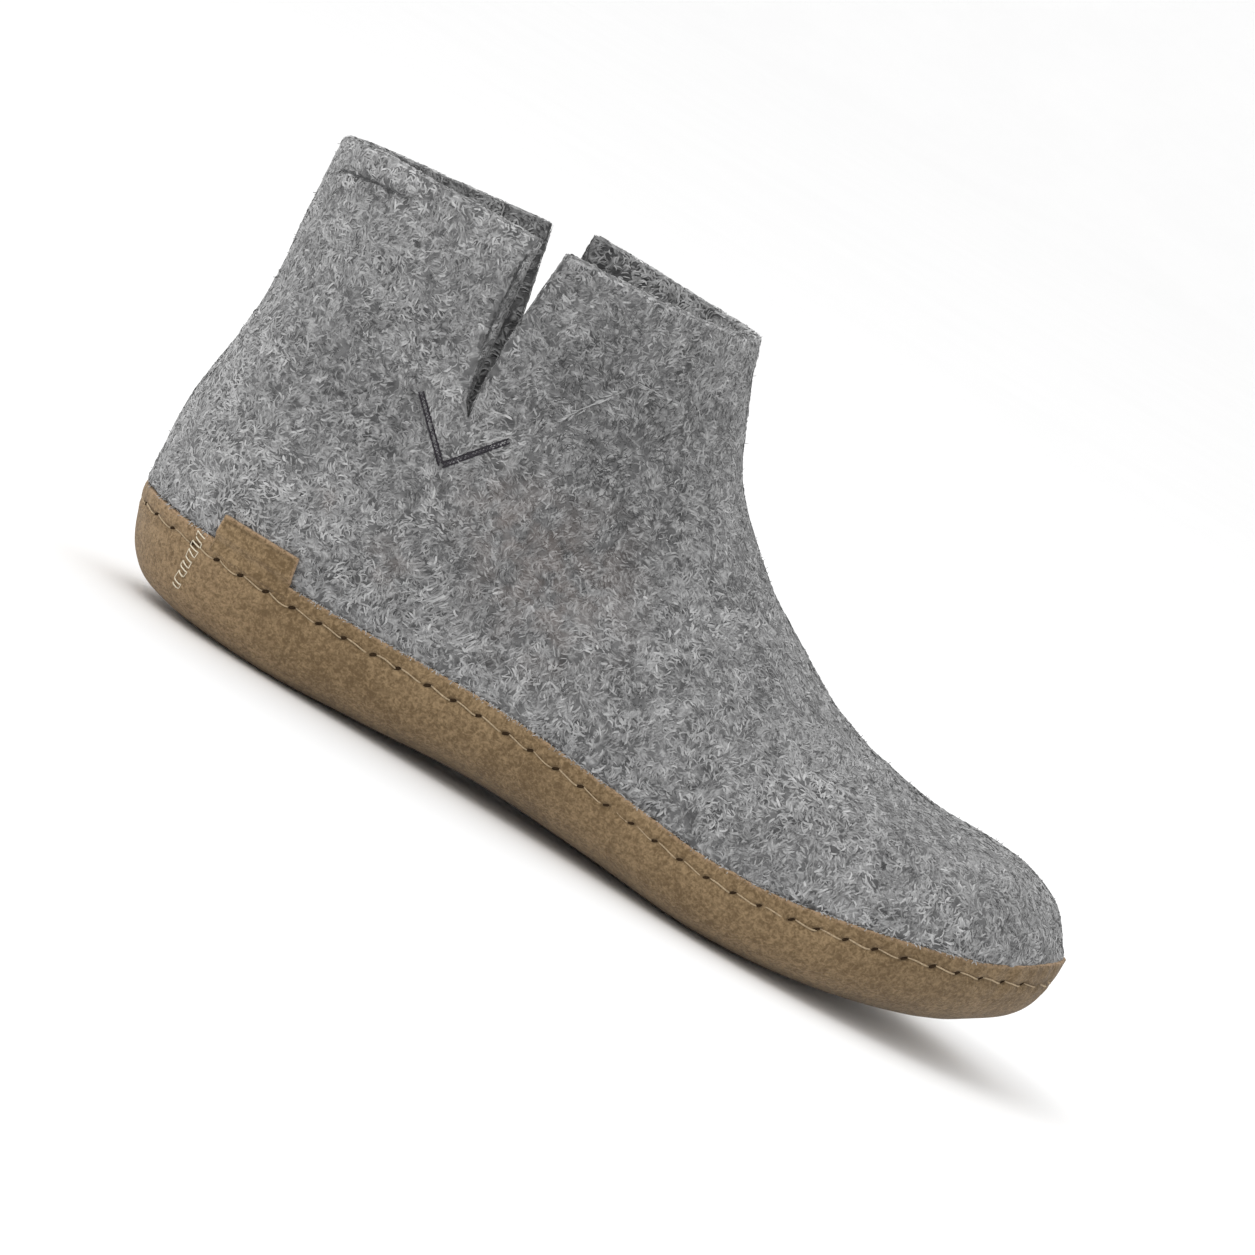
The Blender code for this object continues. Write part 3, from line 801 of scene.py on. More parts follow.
def even_places(start, stop, count):
    """Section places whose rows are about equally far apart where they are furthest apart."""
    fine = np.linspace(start, stop, EVEN_SAMPLES)
    points = skin(fine[:, None], np.linspace(0, 2 * math.pi, EVEN_COLUMNS)[None, :])
    steps = np.linalg.norm(np.diff(points, axis=0), axis=2).max(axis=1)
    way = np.concatenate([[0], np.cumsum(steps)])
    return np.interp(np.linspace(0, way[-1], count), way, fine)


def angle_at_rise(place, rise):
    """The angle, without its sign, at which a section has risen to a share of its height."""
    size = section(place)
    widest = size["widest"]
    under = np.clip(1 - rise / widest, 0, 1) ** (size["under_square"] / 2)
    over = np.clip((rise - widest) / (1 - widest), 0, 1) ** (size["top_square"] / 2)
    return np.where(rise < widest, np.arccos(under), np.arccos(-over))


def find_on_side(along, up):
    """Section row numbers and angles of the outer skin at places in the side view."""
    along, up = np.broadcast_arrays(np.asarray(along, dtype=float), np.asarray(up, dtype=float))
    low = np.zeros(along.shape)
    high = np.full(along.shape, float(COLLAR))
    for _ in range(SEARCH_HALVINGS):
        place = (low + high) / 2
        size = section(place)
        run = size["top_along"] - size["under_along"]
        climb = size["top_up"] - size["under_up"]
        ahead = (along - size["under_along"]) * climb - (up - size["under_up"]) * run > 0
        high = np.where(ahead, place, high)
        low = np.where(ahead, low, place)
    rise = ((along - size["under_along"]) * run + (up - size["under_up"]) * climb) / (run ** 2 + climb ** 2)
    return place, angle_at_rise(place, rise)


def slit_table(side):
    """Heights, edges and lean of a slit in millimetres."""
    up, back, front, lean = np.array(SLITS[side]).T
    return up / 100 * COLLAR_HEIGHT, back / 100 * LENGTH, front / 100 * LENGTH, lean


def slit_foot():
    """The section place of the foot of the slits."""
    ups, backs, _, _ = slit_table("outer")
    return float(find_on_side(backs[0], ups[0])[0])


SLIT_FOOT = slit_foot()


def slit_angles(place, side, depth=0.0):
    """Angles of a slit's back and front edges at sections and at a depth in the felt."""
    place = np.asarray(place, dtype=float)
    ups, backs, fronts, lean = slit_table(side)
    size = section(place)
    found = []
    for edges, leans in ((backs, lean), (fronts, 0 * lean)):
        rise = np.full(place.shape, 0.5)
        for _ in range(SLIT_ROUNDS):
            up = size["under_up"] + rise * (size["top_up"] - size["under_up"])
            along = np.interp(up, ups, edges) + np.interp(up, ups, leans) * depth
            rise = (along - size["under_along"]) / (size["top_along"] - size["under_along"])
        found.append(rise)
    foot = section(SLIT_FOOT)
    foot_rise = (backs[0] - foot["under_along"]) / (foot["top_along"] - foot["under_along"])
    run_on = smooth_step((SLIT_FOOT - place) / SLIT_RUN_SECTIONS)
    below = foot_rise + (SLIT_RUN_RISE - foot_rise) * run_on
    return [angle_at_rise(place, np.where(place > SLIT_FOOT, rise, below)) for rise in found]


def rim_ring(drop):
    """Section places and angles of a closed line round the sole, a height below its rim.

    It runs from the back along the outer side to the toe and back along the inner side.
    """
    places = even_places(0, HEEL_RIM, RING_SAMPLES)
    angles = np.linspace(0, math.pi, CURVE_SAMPLES)
    sides = []
    for sign in SIGNS.values():
        points = skin(np.maximum(places, TIP_STEP)[:, None], sign * angles[None, :])
        heights = points[..., 2] - rim_height(points[..., 0]) + drop
        side = [(place, sign * first_crossing(angles, row))
                for place, row in zip(places, heights) if row[0] < 0]
        sides.append(np.array(side))
    return np.vstack([sides[0][::-1], sides[1]]).T


# Mesh making


class Shell:
    """Grids of points that become one mesh. A point is three distances and then its painted values."""

    def __init__(self, *painted):
        self.painted = painted
        self.points = []
        self.quads = []
        self.finishes = []
        self.count = 0

    def add(self, grid, values=(), finish=0):
        """Add a grid of points, rows by columns, with one array for each painted value."""
        rows, columns = grid.shape[:2]
        layers = [np.broadcast_to(value, (rows, columns))[..., None] for value in values]
        layers += [np.zeros((rows, columns, 1))] * (len(self.painted) - len(layers))
        self.points.append(np.concatenate([grid] + layers, axis=2).reshape(rows * columns, -1))
        index = np.arange(rows * columns).reshape(rows, columns) + self.count
        quads = np.stack([index[:-1, :-1], index[:-1, 1:], index[1:, 1:], index[1:, :-1]], axis=-1)
        self.quads.append(quads.reshape(-1, 4))
        self.finishes.append(np.full(quads.shape[0] * quads.shape[1], finish))
        self.count += rows * columns

    def add_tubes(self, paths, ups, radii, sides=6, finish=0):
        """Add many threads. Each path is a row of points with a direction up at each."""
        for grid in tubes(paths, ups, radii, sides):
            self.add(grid, finish=finish)

    def mesh(self, name):
        """Weld points that meet, leave out faces that come up twice, and make the mesh."""
        points = np.vstack(self.points)
        _, first, weld = np.unique(np.round(points[:, :3], WELD_DECIMALS), axis=0,
                                   return_index=True, return_inverse=True)
        points = points[first]
        quads = weld.reshape(-1)[np.vstack(self.quads)]
        triangles = np.vstack([quads[:, [0, 1, 2]], quads[:, [0, 2, 3]]])
        finishes = np.tile(np.concatenate(self.finishes), 2)
        corners = np.sort(triangles, axis=1)
        _, again, times = np.unique(corners, axis=0, return_inverse=True, return_counts=True)
        keep = ((corners[:, 0] != corners[:, 1]) & (corners[:, 1] != corners[:, 2])
                & (times[again.reshape(-1)] == 1))
        triangles, finishes = triangles[keep], finishes[keep]
        mesh = bpy.data.meshes.new(name)
        mesh.from_pydata(((points[:, :3] + HEEL_PLACE) * MILLIMETRE).tolist(), [], triangles.tolist())
        for column, value in enumerate(self.painted):
            paint = mesh.attributes.new(value, "FLOAT", "POINT")
            paint.data.foreach_set("value", points[:, 3 + column].astype(np.float32))
        mesh.polygons.foreach_set("material_index", finishes.astype(np.int32))
        mesh.polygons.foreach_set("use_smooth", np.ones(len(triangles), dtype=bool))
        shape = bmesh.new()
        shape.from_mesh(mesh)
        bmesh.ops.recalc_face_normals(shape, faces=shape.faces[:])
        shape.to_mesh(mesh)
        shape.free()
        mesh.update()
        return mesh


def clear(store, name):
    """Remove what an earlier run left under a name in one of Blender's lists."""
    old = store.get(name)
    if old is not None:
        store.remove(old)


def add_piece(name, mesh, materials, node=None):
    """Put a mesh into the scene as a piece of the boot, in place of a solid if one is named."""
    clear(bpy.data.objects, name)
    piece = bpy.data.objects.new(name, mesh)
    bpy.context.scene.collection.objects.link(piece)
    for material in materials:
        mesh.materials.append(material)
    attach(piece, "root")
    if node:
        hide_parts(node)
    return piece


def edge_bulge(share):
    """How far a cut edge swells out, at shares of the way from its outer face to its inner face."""
    return 1 - np.clip(np.abs(2 * share - 1), 0, 1) ** LIP_POWER


def lip(outer, inner, outward, reach):
    """Rings of points round a cut edge, from its outer face to its inner face."""
    rings = [outer]
    for share in LIP_SHARES:
        swell = reach * edge_bulge(share)
        rings.append(outer + (inner - outer) * share + outward * np.asarray(swell)[..., None])
    rings.append(inner)
    return np.stack(rings, axis=1)


def tubes(paths, ups, radii, sides):
    """Grids of points round many threads."""
    along = np.gradient(paths, axis=1)
    across = unit(np.cross(along, ups))
    over = unit(np.cross(across, along))
    turns = np.linspace(0, 2 * math.pi, sides + 1)
    radii = np.broadcast_to(radii, paths.shape[:2])
    round_it = across[:, :, None] * np.cos(turns)[:, None] + over[:, :, None] * np.sin(turns)[:, None]
    grids = paths[:, :, None] + round_it * radii[:, :, None, None]
    first, last = (np.repeat(end[:, :, None], sides + 1, axis=2) for end in (paths[:, :1], paths[:, -1:]))
    return np.concatenate([first, grids, last], axis=1)


# Materials


def new_material(name):
    """A material with its shader, ready for nodes."""
    clear(bpy.data.materials, name)
    material = bpy.data.materials.new(name)
    material.use_nodes = True
    return material, material.node_tree, material.node_tree.nodes["Principled BSDF"]


class Wiring:
    """Short ways to add nodes to a tree."""

    def __init__(self, tree):
        self.tree = tree

    def feed(self, socket, value):
        """Join the output of another node to a socket, or set a plain value."""
        if isinstance(value, bpy.types.NodeSocket):
            self.tree.links.new(value, socket)
        else:
            socket.default_value = value

    def node(self, kind, inputs=None, **settings):
        """Add a node, set its settings and join or set its inputs."""
        item = self.tree.nodes.new(kind)
        for key, value in settings.items():
            setattr(item, key, value)
        for key, value in (inputs or {}).items():
            self.feed(item.inputs[key], value)
        return item

    def math(self, operation, first, second=0.0, clamp=False):
        """The result of an operation on one or two values."""
        item = self.node("ShaderNodeMath", {0: first, 1: second}, operation=operation, use_clamp=clamp)
        return item.outputs[0]

    def vector(self, operation, first, second):
        """The result of an operation on two vectors."""
        return self.node("ShaderNodeVectorMath", {0: first, 1: second}, operation=operation).outputs

    def noise(self, vector, scale, detail=2.0, roughness=0.5, distortion=0.0):
        """A noise value over a vector."""
        return self.node("ShaderNodeTexNoise", {
            "Vector": vector, "Scale": scale, "Detail": detail, "Roughness": roughness,
            "Distortion": distortion}).outputs["Fac"]

    def ramp(self, value, low, high):
        """A value stretched so that low becomes 0 and high becomes 1, softly."""
        return self.node("ShaderNodeMapRange", {"Value": value, "From Min": low, "From Max": high},
                         interpolation_type="SMOOTHSTEP").outputs["Result"]

    def mix(self, factor, first, second):
        """A colour between two colours."""
        item = self.node("ShaderNodeMix", data_type="RGBA")
        self.feed(item.inputs[0], factor)
        for key, colour in ((6, first), (7, second)):
            joined = isinstance(colour, bpy.types.NodeSocket)
            self.feed(item.inputs[key], colour if joined else (*colour, 1.0))
        return item.outputs[2]

    def place(self):
        """Places on the boot, in metres."""
        return self.node("ShaderNodeTexCoord").outputs["Object"]

    def paint(self, name):
        """A value painted on the mesh."""
        return self.node("ShaderNodeAttribute", attribute_name=name).outputs["Fac"]

    def moved(self, vector, offset):
        """A vector with an offset added."""
        return self.vector("ADD", vector, offset)[0]

    def bump(self, height, distance, strength=1.0):
        """A normal from a height."""
        return self.node("ShaderNodeBump", {"Height": height, "Distance": distance,
                                            "Strength": strength}).outputs["Normal"]


def new_group(name, inputs, outputs):
    """An empty node group with named inputs and outputs."""
    clear(bpy.data.node_groups, name)
    group = bpy.data.node_groups.new(name, "ShaderNodeTree")
    for label, kind, default in inputs:
        socket = group.interface.new_socket(label, in_out="INPUT", socket_type=kind)
        if default is not None:
            socket.default_value = default
    for label in outputs:
        group.interface.new_socket(label, in_out="OUTPUT", socket_type="NodeSocketFloat")
    return group, group.nodes.new("NodeGroupInput"), group.nodes.new("NodeGroupOutput")


def wool_curls_group():
    """Node group: curly wool strands as thin crooked lines, and the height they stand at."""
    group, given, made = new_group("wool_curls", (
        ("Vector", "NodeSocketVector", None), ("Scale", "NodeSocketFloat", 260.0),
        ("Fineness", "NodeSocketFloat", 11.0)), ("Curls", "Height"))
    wire = Wiring(group)
    warp_scale = wire.math("MULTIPLY", given.outputs["Scale"], 0.8)
    warp = wire.node("ShaderNodeTexNoise", {
        "Vector": given.outputs["Vector"], "Scale": warp_scale, "Detail": 1.0}).outputs["Color"]
    centred = wire.vector("SUBTRACT", warp, (0.5, 0.5, 0.5))[0]
    push = wire.node("ShaderNodeVectorMath", {0: centred}, operation="SCALE")
    group.links.new(wire.math("DIVIDE", 1.6, given.outputs["Scale"]), push.inputs["Scale"])
    vector = wire.moved(given.outputs["Vector"], push.outputs[0])
    lines = None
    for offset in ((0.0, 0.0, 0.0), (0.31, 0.17, 0.73), (0.57, 0.91, 0.23)):
        here = wire.moved(vector, offset)
        level = wire.noise(here, given.outputs["Scale"], 0.6)
        away = wire.math("ABSOLUTE", wire.math("SUBTRACT", level, 0.5))
        thinned = wire.math("MULTIPLY", away, given.outputs["Fineness"])
        line = wire.math("SUBTRACT", 1.0, thinned, clamp=True)
        gaps = wire.noise(wire.moved(here, (0.13, 0.4, 0.2)), given.outputs["Scale"], 1.0)
        shown = wire.ramp(gaps, 0.44, 0.58)
        strand = wire.math("MULTIPLY", line, shown)
        lines = strand if lines is None else wire.math("MAXIMUM", lines, strand)
    group.links.new(lines, made.inputs["Curls"])
    grain = wire.noise(given.outputs["Vector"], 2400.0, 2.0)
    group.links.new(wire.math("ADD", lines, wire.math("MULTIPLY", grain, 0.5)), made.inputs["Height"])
    return group


def mottle_group():
    """Node group: soft patches at two sizes, from 0 to 1."""
    group, given, made = new_group("mottle", (
        ("Vector", "NodeSocketVector", None), ("Scale", "NodeSocketFloat", 60.0),
        ("Fine Share", "NodeSocketFloat", 0.4)), ("Patches",))
    wire = Wiring(group)
    broad = wire.ramp(wire.noise(given.outputs["Vector"], given.outputs["Scale"], 2.0), 0.32, 0.68)
    fine_scale = wire.math("MULTIPLY", given.outputs["Scale"], 4.3)
    fine = wire.ramp(wire.noise(given.outputs["Vector"], fine_scale, 2.0), 0.32, 0.68)
    share = given.outputs["Fine Share"]
    blend = wire.math("ADD", wire.math("MULTIPLY", broad, wire.math("SUBTRACT", 1.0, share)),
                      wire.math("MULTIPLY", fine, share))
    group.links.new(blend, made.inputs["Patches"])
    return group


def nap_group():
    """Node group: the short nap of suede, as light and dark tufts and their height."""
    group, given, made = new_group("suede_nap", (
        ("Vector", "NodeSocketVector", None), ("Scale", "NodeSocketFloat", 900.0)), ("Tufts", "Height"))
    wire = Wiring(group)
    tuft = wire.noise(given.outputs["Vector"], given.outputs["Scale"], 3.0, 0.6, 0.6)
    fine_scale = wire.math("MULTIPLY", given.outputs["Scale"], 2.9)
    fine = wire.noise(given.outputs["Vector"], fine_scale, 2.0, 0.6)
    group.links.new(wire.ramp(tuft, 0.3, 0.7), made.inputs["Tufts"])
    group.links.new(wire.math("ADD", tuft, wire.math("MULTIPLY", fine, 0.6)), made.inputs["Height"])
    return group


def stain_group():
    """Node group: a mask of faint brown blotches on the outer side."""
    group, given, made = new_group("wool_stain", (("Vector", "NodeSocketVector", None),), ("Mask",))
    wire = Wiring(group)
    total = 0.0
    for along, up, size, strength in STAINS:
        centre = tuple((np.array((along, STAIN_SIDE, up)) + HEEL_PLACE) * MILLIMETRE)
        far = wire.vector("DISTANCE", given.outputs["Vector"], centre)["Value"]
        near = wire.ramp(far, size * MILLIMETRE, 0.0)
        total = wire.math("ADD", total, wire.math("MULTIPLY", near, strength))
    patches = wire.ramp(wire.noise(given.outputs["Vector"], 160.0), 0.35, 0.65)
    group.links.new(wire.math("MULTIPLY", total, patches), made.inputs["Mask"])
    return group


def shared_group(name):
    """A node group of the boot's materials, made the first time that it is asked for."""
    makers = {"wool_curls": wool_curls_group, "mottle": mottle_group, "suede_nap": nap_group,
              "wool_stain": stain_group}
    return bpy.data.node_groups.get(name) or makers[name]()


def use_group(wire, name, **inputs):
    """Place a shared node group in a material."""
    item = wire.node("ShaderNodeGroup", node_tree=shared_group(name))
    for key, value in inputs.items():
        wire.feed(item.inputs[key.replace("_", " ")], value)
    return item.outputs


def set_finish(shader, roughness, specular, sheen=0.0, sheen_roughness=0.5):
    """Set how rough a finish is, how much it mirrors, and the sheen of its fibres."""
    shader.inputs["Roughness"].default_value = roughness
    shader.inputs["Specular IOR Level"].default_value = specular
    shader.inputs["Sheen Weight"].default_value = sheen
    shader.inputs["Sheen Roughness"].default_value = sheen_roughness


def felt_material(colours, name="grey_felt", darkening=0.0):
    """Mottled wool felt with curly strands, flatter and darker by a share; on the inner face of the wall the
    darker felt is painted shade.
    """
    kept = 1 - 0.55 * darkening
    material, tree, shader = new_material(name)
    wire = Wiring(tree)
    place = wire.place()
    patches = use_group(wire, "mottle", Vector=place, Scale=95.0, Fine_Share=0.45)["Patches"]
    curls = use_group(wire, "wool_curls", Vector=place, Scale=270.0, Fineness=12.0)
    colour = wire.mix(patches, *(tuple(kept * channel for channel in wool)
                                 for wool in (colours.felt_dark, colours.felt_mid)))
    colour = wire.mix(wire.math("MULTIPLY", curls["Curls"], 0.62 * (1 - darkening)), colour, colours.felt_light)
    colour = wire.mix(use_group(wire, "wool_stain", Vector=place)["Mask"], colour, colours.felt_stain)
    tree.links.new(colour, shader.inputs["Base Color"])
    set_finish(shader, roughness=0.95, specular=0.12, sheen=0.4, sheen_roughness=0.45)
    tree.links.new(wire.bump(curls["Height"], 0.0007, 0.9), shader.inputs["Normal"])
    return material


def strand_material(colours):
    """Single strands of wool, each with a painted shade."""
    material, tree, shader = new_material("wool_strands")
    wire = Wiring(tree)
    place = wire.place()
    patches = use_group(wire, "mottle", Vector=place, Scale=420.0, Fine_Share=0.5)["Patches"]
    change = wire.math("MULTIPLY", wire.math("SUBTRACT", patches, 0.5), 0.3)
    shade = wire.math("ADD", wire.paint("shade"), change, clamp=True)
    colour = wire.mix(shade, colours.felt_dark, colours.felt_light)
    colour = wire.mix(use_group(wire, "wool_stain", Vector=place)["Mask"], colour, colours.felt_stain)
    tree.links.new(colour, shader.inputs["Base Color"])
    set_finish(shader, roughness=0.9, specular=0.15, sheen=0.4, sheen_roughness=0.4)
    return material


def suede_material(colours, name="tan_suede"):
    """Brushed suede with a paler cut edge painted on the mesh, and painted shade in its stitch holes and
    along its seam, with darker suede along the foot.
    """
    material, tree, shader = new_material(name)
    wire = Wiring(tree)
    place = wire.place()
    broad = use_group(wire, "mottle", Vector=place, Scale=38.0, Fine_Share=0.45)["Patches"]
    nap = use_group(wire, "suede_nap", Vector=place, Scale=1250.0)
    light = use_group(wire, "wool_curls", Vector=place, Scale=620.0, Fineness=8.0)["Curls"]
    dark = use_group(wire, "wool_curls", Vector=wire.moved(place, (0.41, 0.23, 0.11)), Scale=540.0,
                     Fineness=8.0)["Curls"]
    shade = wire.math("ADD", wire.math("MULTIPLY", broad, 0.36), wire.math("MULTIPLY", nap["Tufts"], 0.45))
    shade = wire.math("ADD", shade, wire.math("MULTIPLY", light, 0.52))
    shade = wire.math("SUBTRACT", shade, wire.math("MULTIPLY", dark, 0.52), clamp=True)
    colour = wire.mix(shade, colours.suede_dark, colours.suede_light)
    edge = wire.math("MULTIPLY", wire.paint("edge"), wire.ramp(nap["Tufts"], 0.0, 0.7))
    colour = wire.mix(edge, colour, colours.suede_edge)
    # Painted shade of the stitch holes and the seam, with the darker suede along the foot
    colour = wire.mix(wire.paint("dark"), colour, colours.hole)
    tree.links.new(colour, shader.inputs["Base Color"])
    set_finish(shader, roughness=0.88, specular=0.2, sheen=0.12, sheen_roughness=0.5)
    tree.links.new(wire.bump(nap["Height"], 0.0004, 0.8), shader.inputs["Normal"])
    return material


def thread_material(name, colour, dark_share=0.6):
    """Spun thread, with painted shade between its fibres."""
    material, tree, shader = new_material(name)
    wire = Wiring(tree)
    fibres = use_group(wire, "suede_nap", Vector=wire.place(), Scale=1700.0)
    dark = tuple(channel * dark_share for channel in colour)
    tree.links.new(wire.mix(fibres["Tufts"], dark, tuple(colour)), shader.inputs["Base Color"])
    set_finish(shader, roughness=0.75, specular=0.25)
    tree.links.new(wire.bump(fibres["Height"], 0.0002, 0.6), shader.inputs["Normal"])
    return material


def hole_material(colours):
    """The shaded inside of a stitch hole."""
    material, tree, shader = new_material("stitch_hole")
    wire = Wiring(tree)
    tufts = use_group(wire, "suede_nap", Vector=wire.place(), Scale=1500.0)["Tufts"]
    lit = tuple(min(1.0, 2.2 * channel) for channel in colours.hole)
    tree.links.new(wire.mix(tufts, tuple(colours.hole), lit), shader.inputs["Base Color"])
    set_finish(shader, roughness=0.95, specular=0.05)
    return material


def floor_material(colours):
    """Pale seamless paper."""
    material, tree, shader = new_material("pale_floor")
    wire = Wiring(tree)
    patches = use_group(wire, "mottle", Vector=wire.place(), Scale=3.0, Fine_Share=0.3)["Patches"]
    dimmer = tuple(0.985 * channel for channel in colours.floor)
    tree.links.new(wire.mix(patches, dimmer, tuple(colours.floor)), shader.inputs["Base Color"])
    set_finish(shader, roughness=0.9, specular=0.1)
    return material


# Pieces


def side_columns(place, side):
    """Angles of one side of a felt row: up to the slit's back edge, and on from its front edge to the top.

    Each comes twice, for the outer and for the inner face of the felt.
    """
    sign = SIGNS[side]
    tread, rim = edge_angles(place, side)
    start = min(tread, rim)
    runs = []
    for depth in (0.0, FELT):
        back, front = (float(angle) for angle in slit_angles(place, side, depth))
        wall = spread(place, sign, start, rim, np.linspace(0, 1, WALL_COLUMNS + 1))
        behind = spread(place, sign, rim, back, np.linspace(0, 1, BACK_COLUMNS + 1))
        ahead = spread(place, sign, front, math.pi, np.linspace(0, 1, FRONT_COLUMNS + 1))
        runs.append((sign * np.concatenate([wall, behind[1:]]), sign * ahead))
    return runs


def make_upper(colours):
    """The felt boot, open at the collar, at its slits and underneath."""
    places = even_places(0, COLLAR, UPPER_ROWS)
    foot = int(np.argmin(np.abs(places - SLIT_FOOT)))
    places[foot] = SLIT_FOOT
    shell = Shell()
    for side in SIGNS:
        columns = [side_columns(place, side) for place in places]
        for run in (0, 1):
            outer_angles = np.array([row[0][run] for row in columns])
            inner_angles = np.array([row[1][run] for row in columns])
            outside = felt_surface(places[:, None], outer_angles)
            inside = felt_inside(places[:, None], inner_angles)
            shell.add(outside)
            shell.add(inside, finish=1)
            if run == 0:
                shell.add(np.stack([outside[:, 0], inside[:, 0]], axis=1))
            add_felt_edges(shell, outside, inside, foot, -1 if run == 0 else 0)
    mesh = shell.mesh("felt_upper")
    # The inner face of the wall takes darker felt as painted shade
    felts = [felt_material(colours), felt_material(colours, "inner_felt", darkening=0.2)]
    return add_piece("felt_upper", mesh, felts, "upper")


def add_felt_edges(shell, outside, inside, foot, edge):
    """Rounded cut edges of a run of felt: its collar, its side of the slit and the corner between them."""
    beside = -2 if edge == -1 else 1
    up = unit(outside[-1] - outside[-3])
    along, aside, _ = outside[-1].T
    wander = 0.12 * np.sin(along / 2.3) + 0.1 * np.sin(along / 0.9 + aside)
    collar = lip(outside[-1], inside[-1], up, COLLAR_LIP + wander)
    shell.add(collar)
    rows = slice(foot, None)
    out = unit(outside[rows, edge] - outside[rows, beside])
    opened = smooth_step(np.arange(len(out)) / SLIT_LIP_ROWS)
    height = outside[rows, edge, 2]
    wander = 0.1 * np.sin(height / 1.7) + 0.08 * np.sin(height / 0.7)
    slit = lip(outside[rows, edge], inside[rows, edge], out, opened * (SLIT_LIP + wander))
    shell.add(slit)
    shell.add(np.stack([collar[edge], slit[-1]], axis=0))


def strand_starts(generator, count, wanted):
    """Random section places and angles spread evenly over the felt where a test of its points is true."""
    places = np.linspace(START_FIRST, COLLAR - START_LAST, START_SAMPLES)
    angles = np.linspace(-math.pi, math.pi, START_SAMPLES)
    points = skin(places[:, None], angles[None, :])
    sides = np.diff(points, axis=0)[:, :-1], np.diff(points, axis=1)[:-1]
    area = np.linalg.norm(np.cross(*sides), axis=2) * wanted(points[:-1, :-1])
    chosen = generator.choice(area.size, count, p=area.ravel() / area.sum())
    rows, columns = np.unravel_index(chosen, area.shape)
    place = places[rows] + generator.random(count) * (places[1] - places[0])
    angle = angles[columns] + generator.random(count) * (angles[1] - angles[0])
    return place, angle


def toe_lift(points):
    """How far the leather's rim is raised round the toe."""
    return TOE_LIFT * smooth_step((points[..., 0] - TOE_LIFT_START) / TOE_LIFT_EASE)


def over_rim(points):
    """True on the felt that shows above the sole's rim."""
    return points[..., 2] > rim_height(points[..., 0]) + toe_lift(points) + RIM_CLEAR


def below_collar(points):
    """How far points are below the collar's straight line."""
    back, front = SECTION_ROWS[-2][[3, 1]]
    return back + (front - back) * points[..., 0] / SECTION_ROWS[-2][0] - points[..., 2]


def near_collar(points):
    """True on the band of felt under the collar whose inner face shows."""
    return below_collar(points) < INSIDE_BAND


def slit_face(side, edge):
    """A function for points on a cut face of a slit: section place, share of the way in and lift."""
    sign = SIGNS[side]
    aside = -FACE_STEP if edge == 0 else FACE_STEP

    def surface(place, share, lift=0.0):
        over = felt_surface(place, sign * slit_angles(place, side)[edge])
        out = unit(over - felt_surface(place, sign * (slit_angles(place, side)[edge] + aside)))
        inner = felt_inside(place, sign * slit_angles(place, side, FELT)[edge])
        swell = lift + SLIT_WOOL * edge_bulge(share)
        return over + (inner - over) * share[..., None] + out * swell[..., None]
    return surface


def collar_face(share, angle, lift=0.0):
    """Points on the collar's cut edge: share of the way in, section angle and lift."""
    over, inner = (face(np.full(np.shape(angle), COLLAR), angle) for face in (felt_surface, felt_inside))
    points = over + (inner - over) * share[..., None]
    points[..., 2] += lift + COLLAR_WOOL * edge_bulge(share)
    return points


def lay_strands(surface, first, second, length, heading, bend, arch):
    """Curved strands on a surface of two values: both values and the points along each, and the way out."""
    here = surface(first, second)
    along = (surface(first + SLOPE_STEP, second) - here) / SLOPE_STEP
    around = (surface(first, second + SLOPE_STEP) - here) / SLOPE_STEP
    out = unit(np.cross(around, along))
    ahead = unit(along)
    beside = np.cross(out, ahead)
    turn = heading[:, None] + (bend * length)[:, None] * np.linspace(0, 1, STRAND_POINTS - 1)
    moves = np.cos(turn)[..., None] * ahead[:, None] + np.sin(turn)[..., None] * beside[:, None]
    way = np.cumsum(moves, axis=1) * (length / (STRAND_POINTS - 1))[:, None, None]
    way = np.concatenate([0 * way[:, :1], way], axis=1)
    pairs = ((along, along), (around, around), (along, around))
    aa, bb, ab = ((one * two).sum(1)[:, None] for one, two in pairs)
    aw, bw = (way * along[:, None]).sum(2), (way * around[:, None]).sum(2)
    scale = np.maximum(aa * bb - ab ** 2, 1e-9)
    first = np.clip(first[:, None] + (aw * bb - bw * ab) / scale, STRAND_FIRST, COLLAR - STRAND_LAST)
    second = second[:, None] + np.clip((bw * aa - aw * ab) / scale, -STRAND_TURN, STRAND_TURN)
    return first, second, surface(first, second, arch), out


def over_slit(place, angle):
    """True where a point would hang over a slit."""
    angle = wrapped(angle)
    hit = np.zeros(place.shape, dtype=bool)
    for side, sign in SIGNS.items():
        back, front = slit_angles(place, side)
        turned = sign * angle
        hit |= (place > SLIT_FOOT) & (turned > back - SLIT_GAP_BACK) & (turned < front + SLIT_GAP_FRONT)
    return hit


def ribbons(paths, normals, widths):
    """Grids of two points across for thin strands lying on the felt."""
    across = unit(np.cross(np.gradient(paths, axis=1), normals))
    half = across * widths[..., None] / 2
    return np.stack([paths - half, paths + half], axis=2)


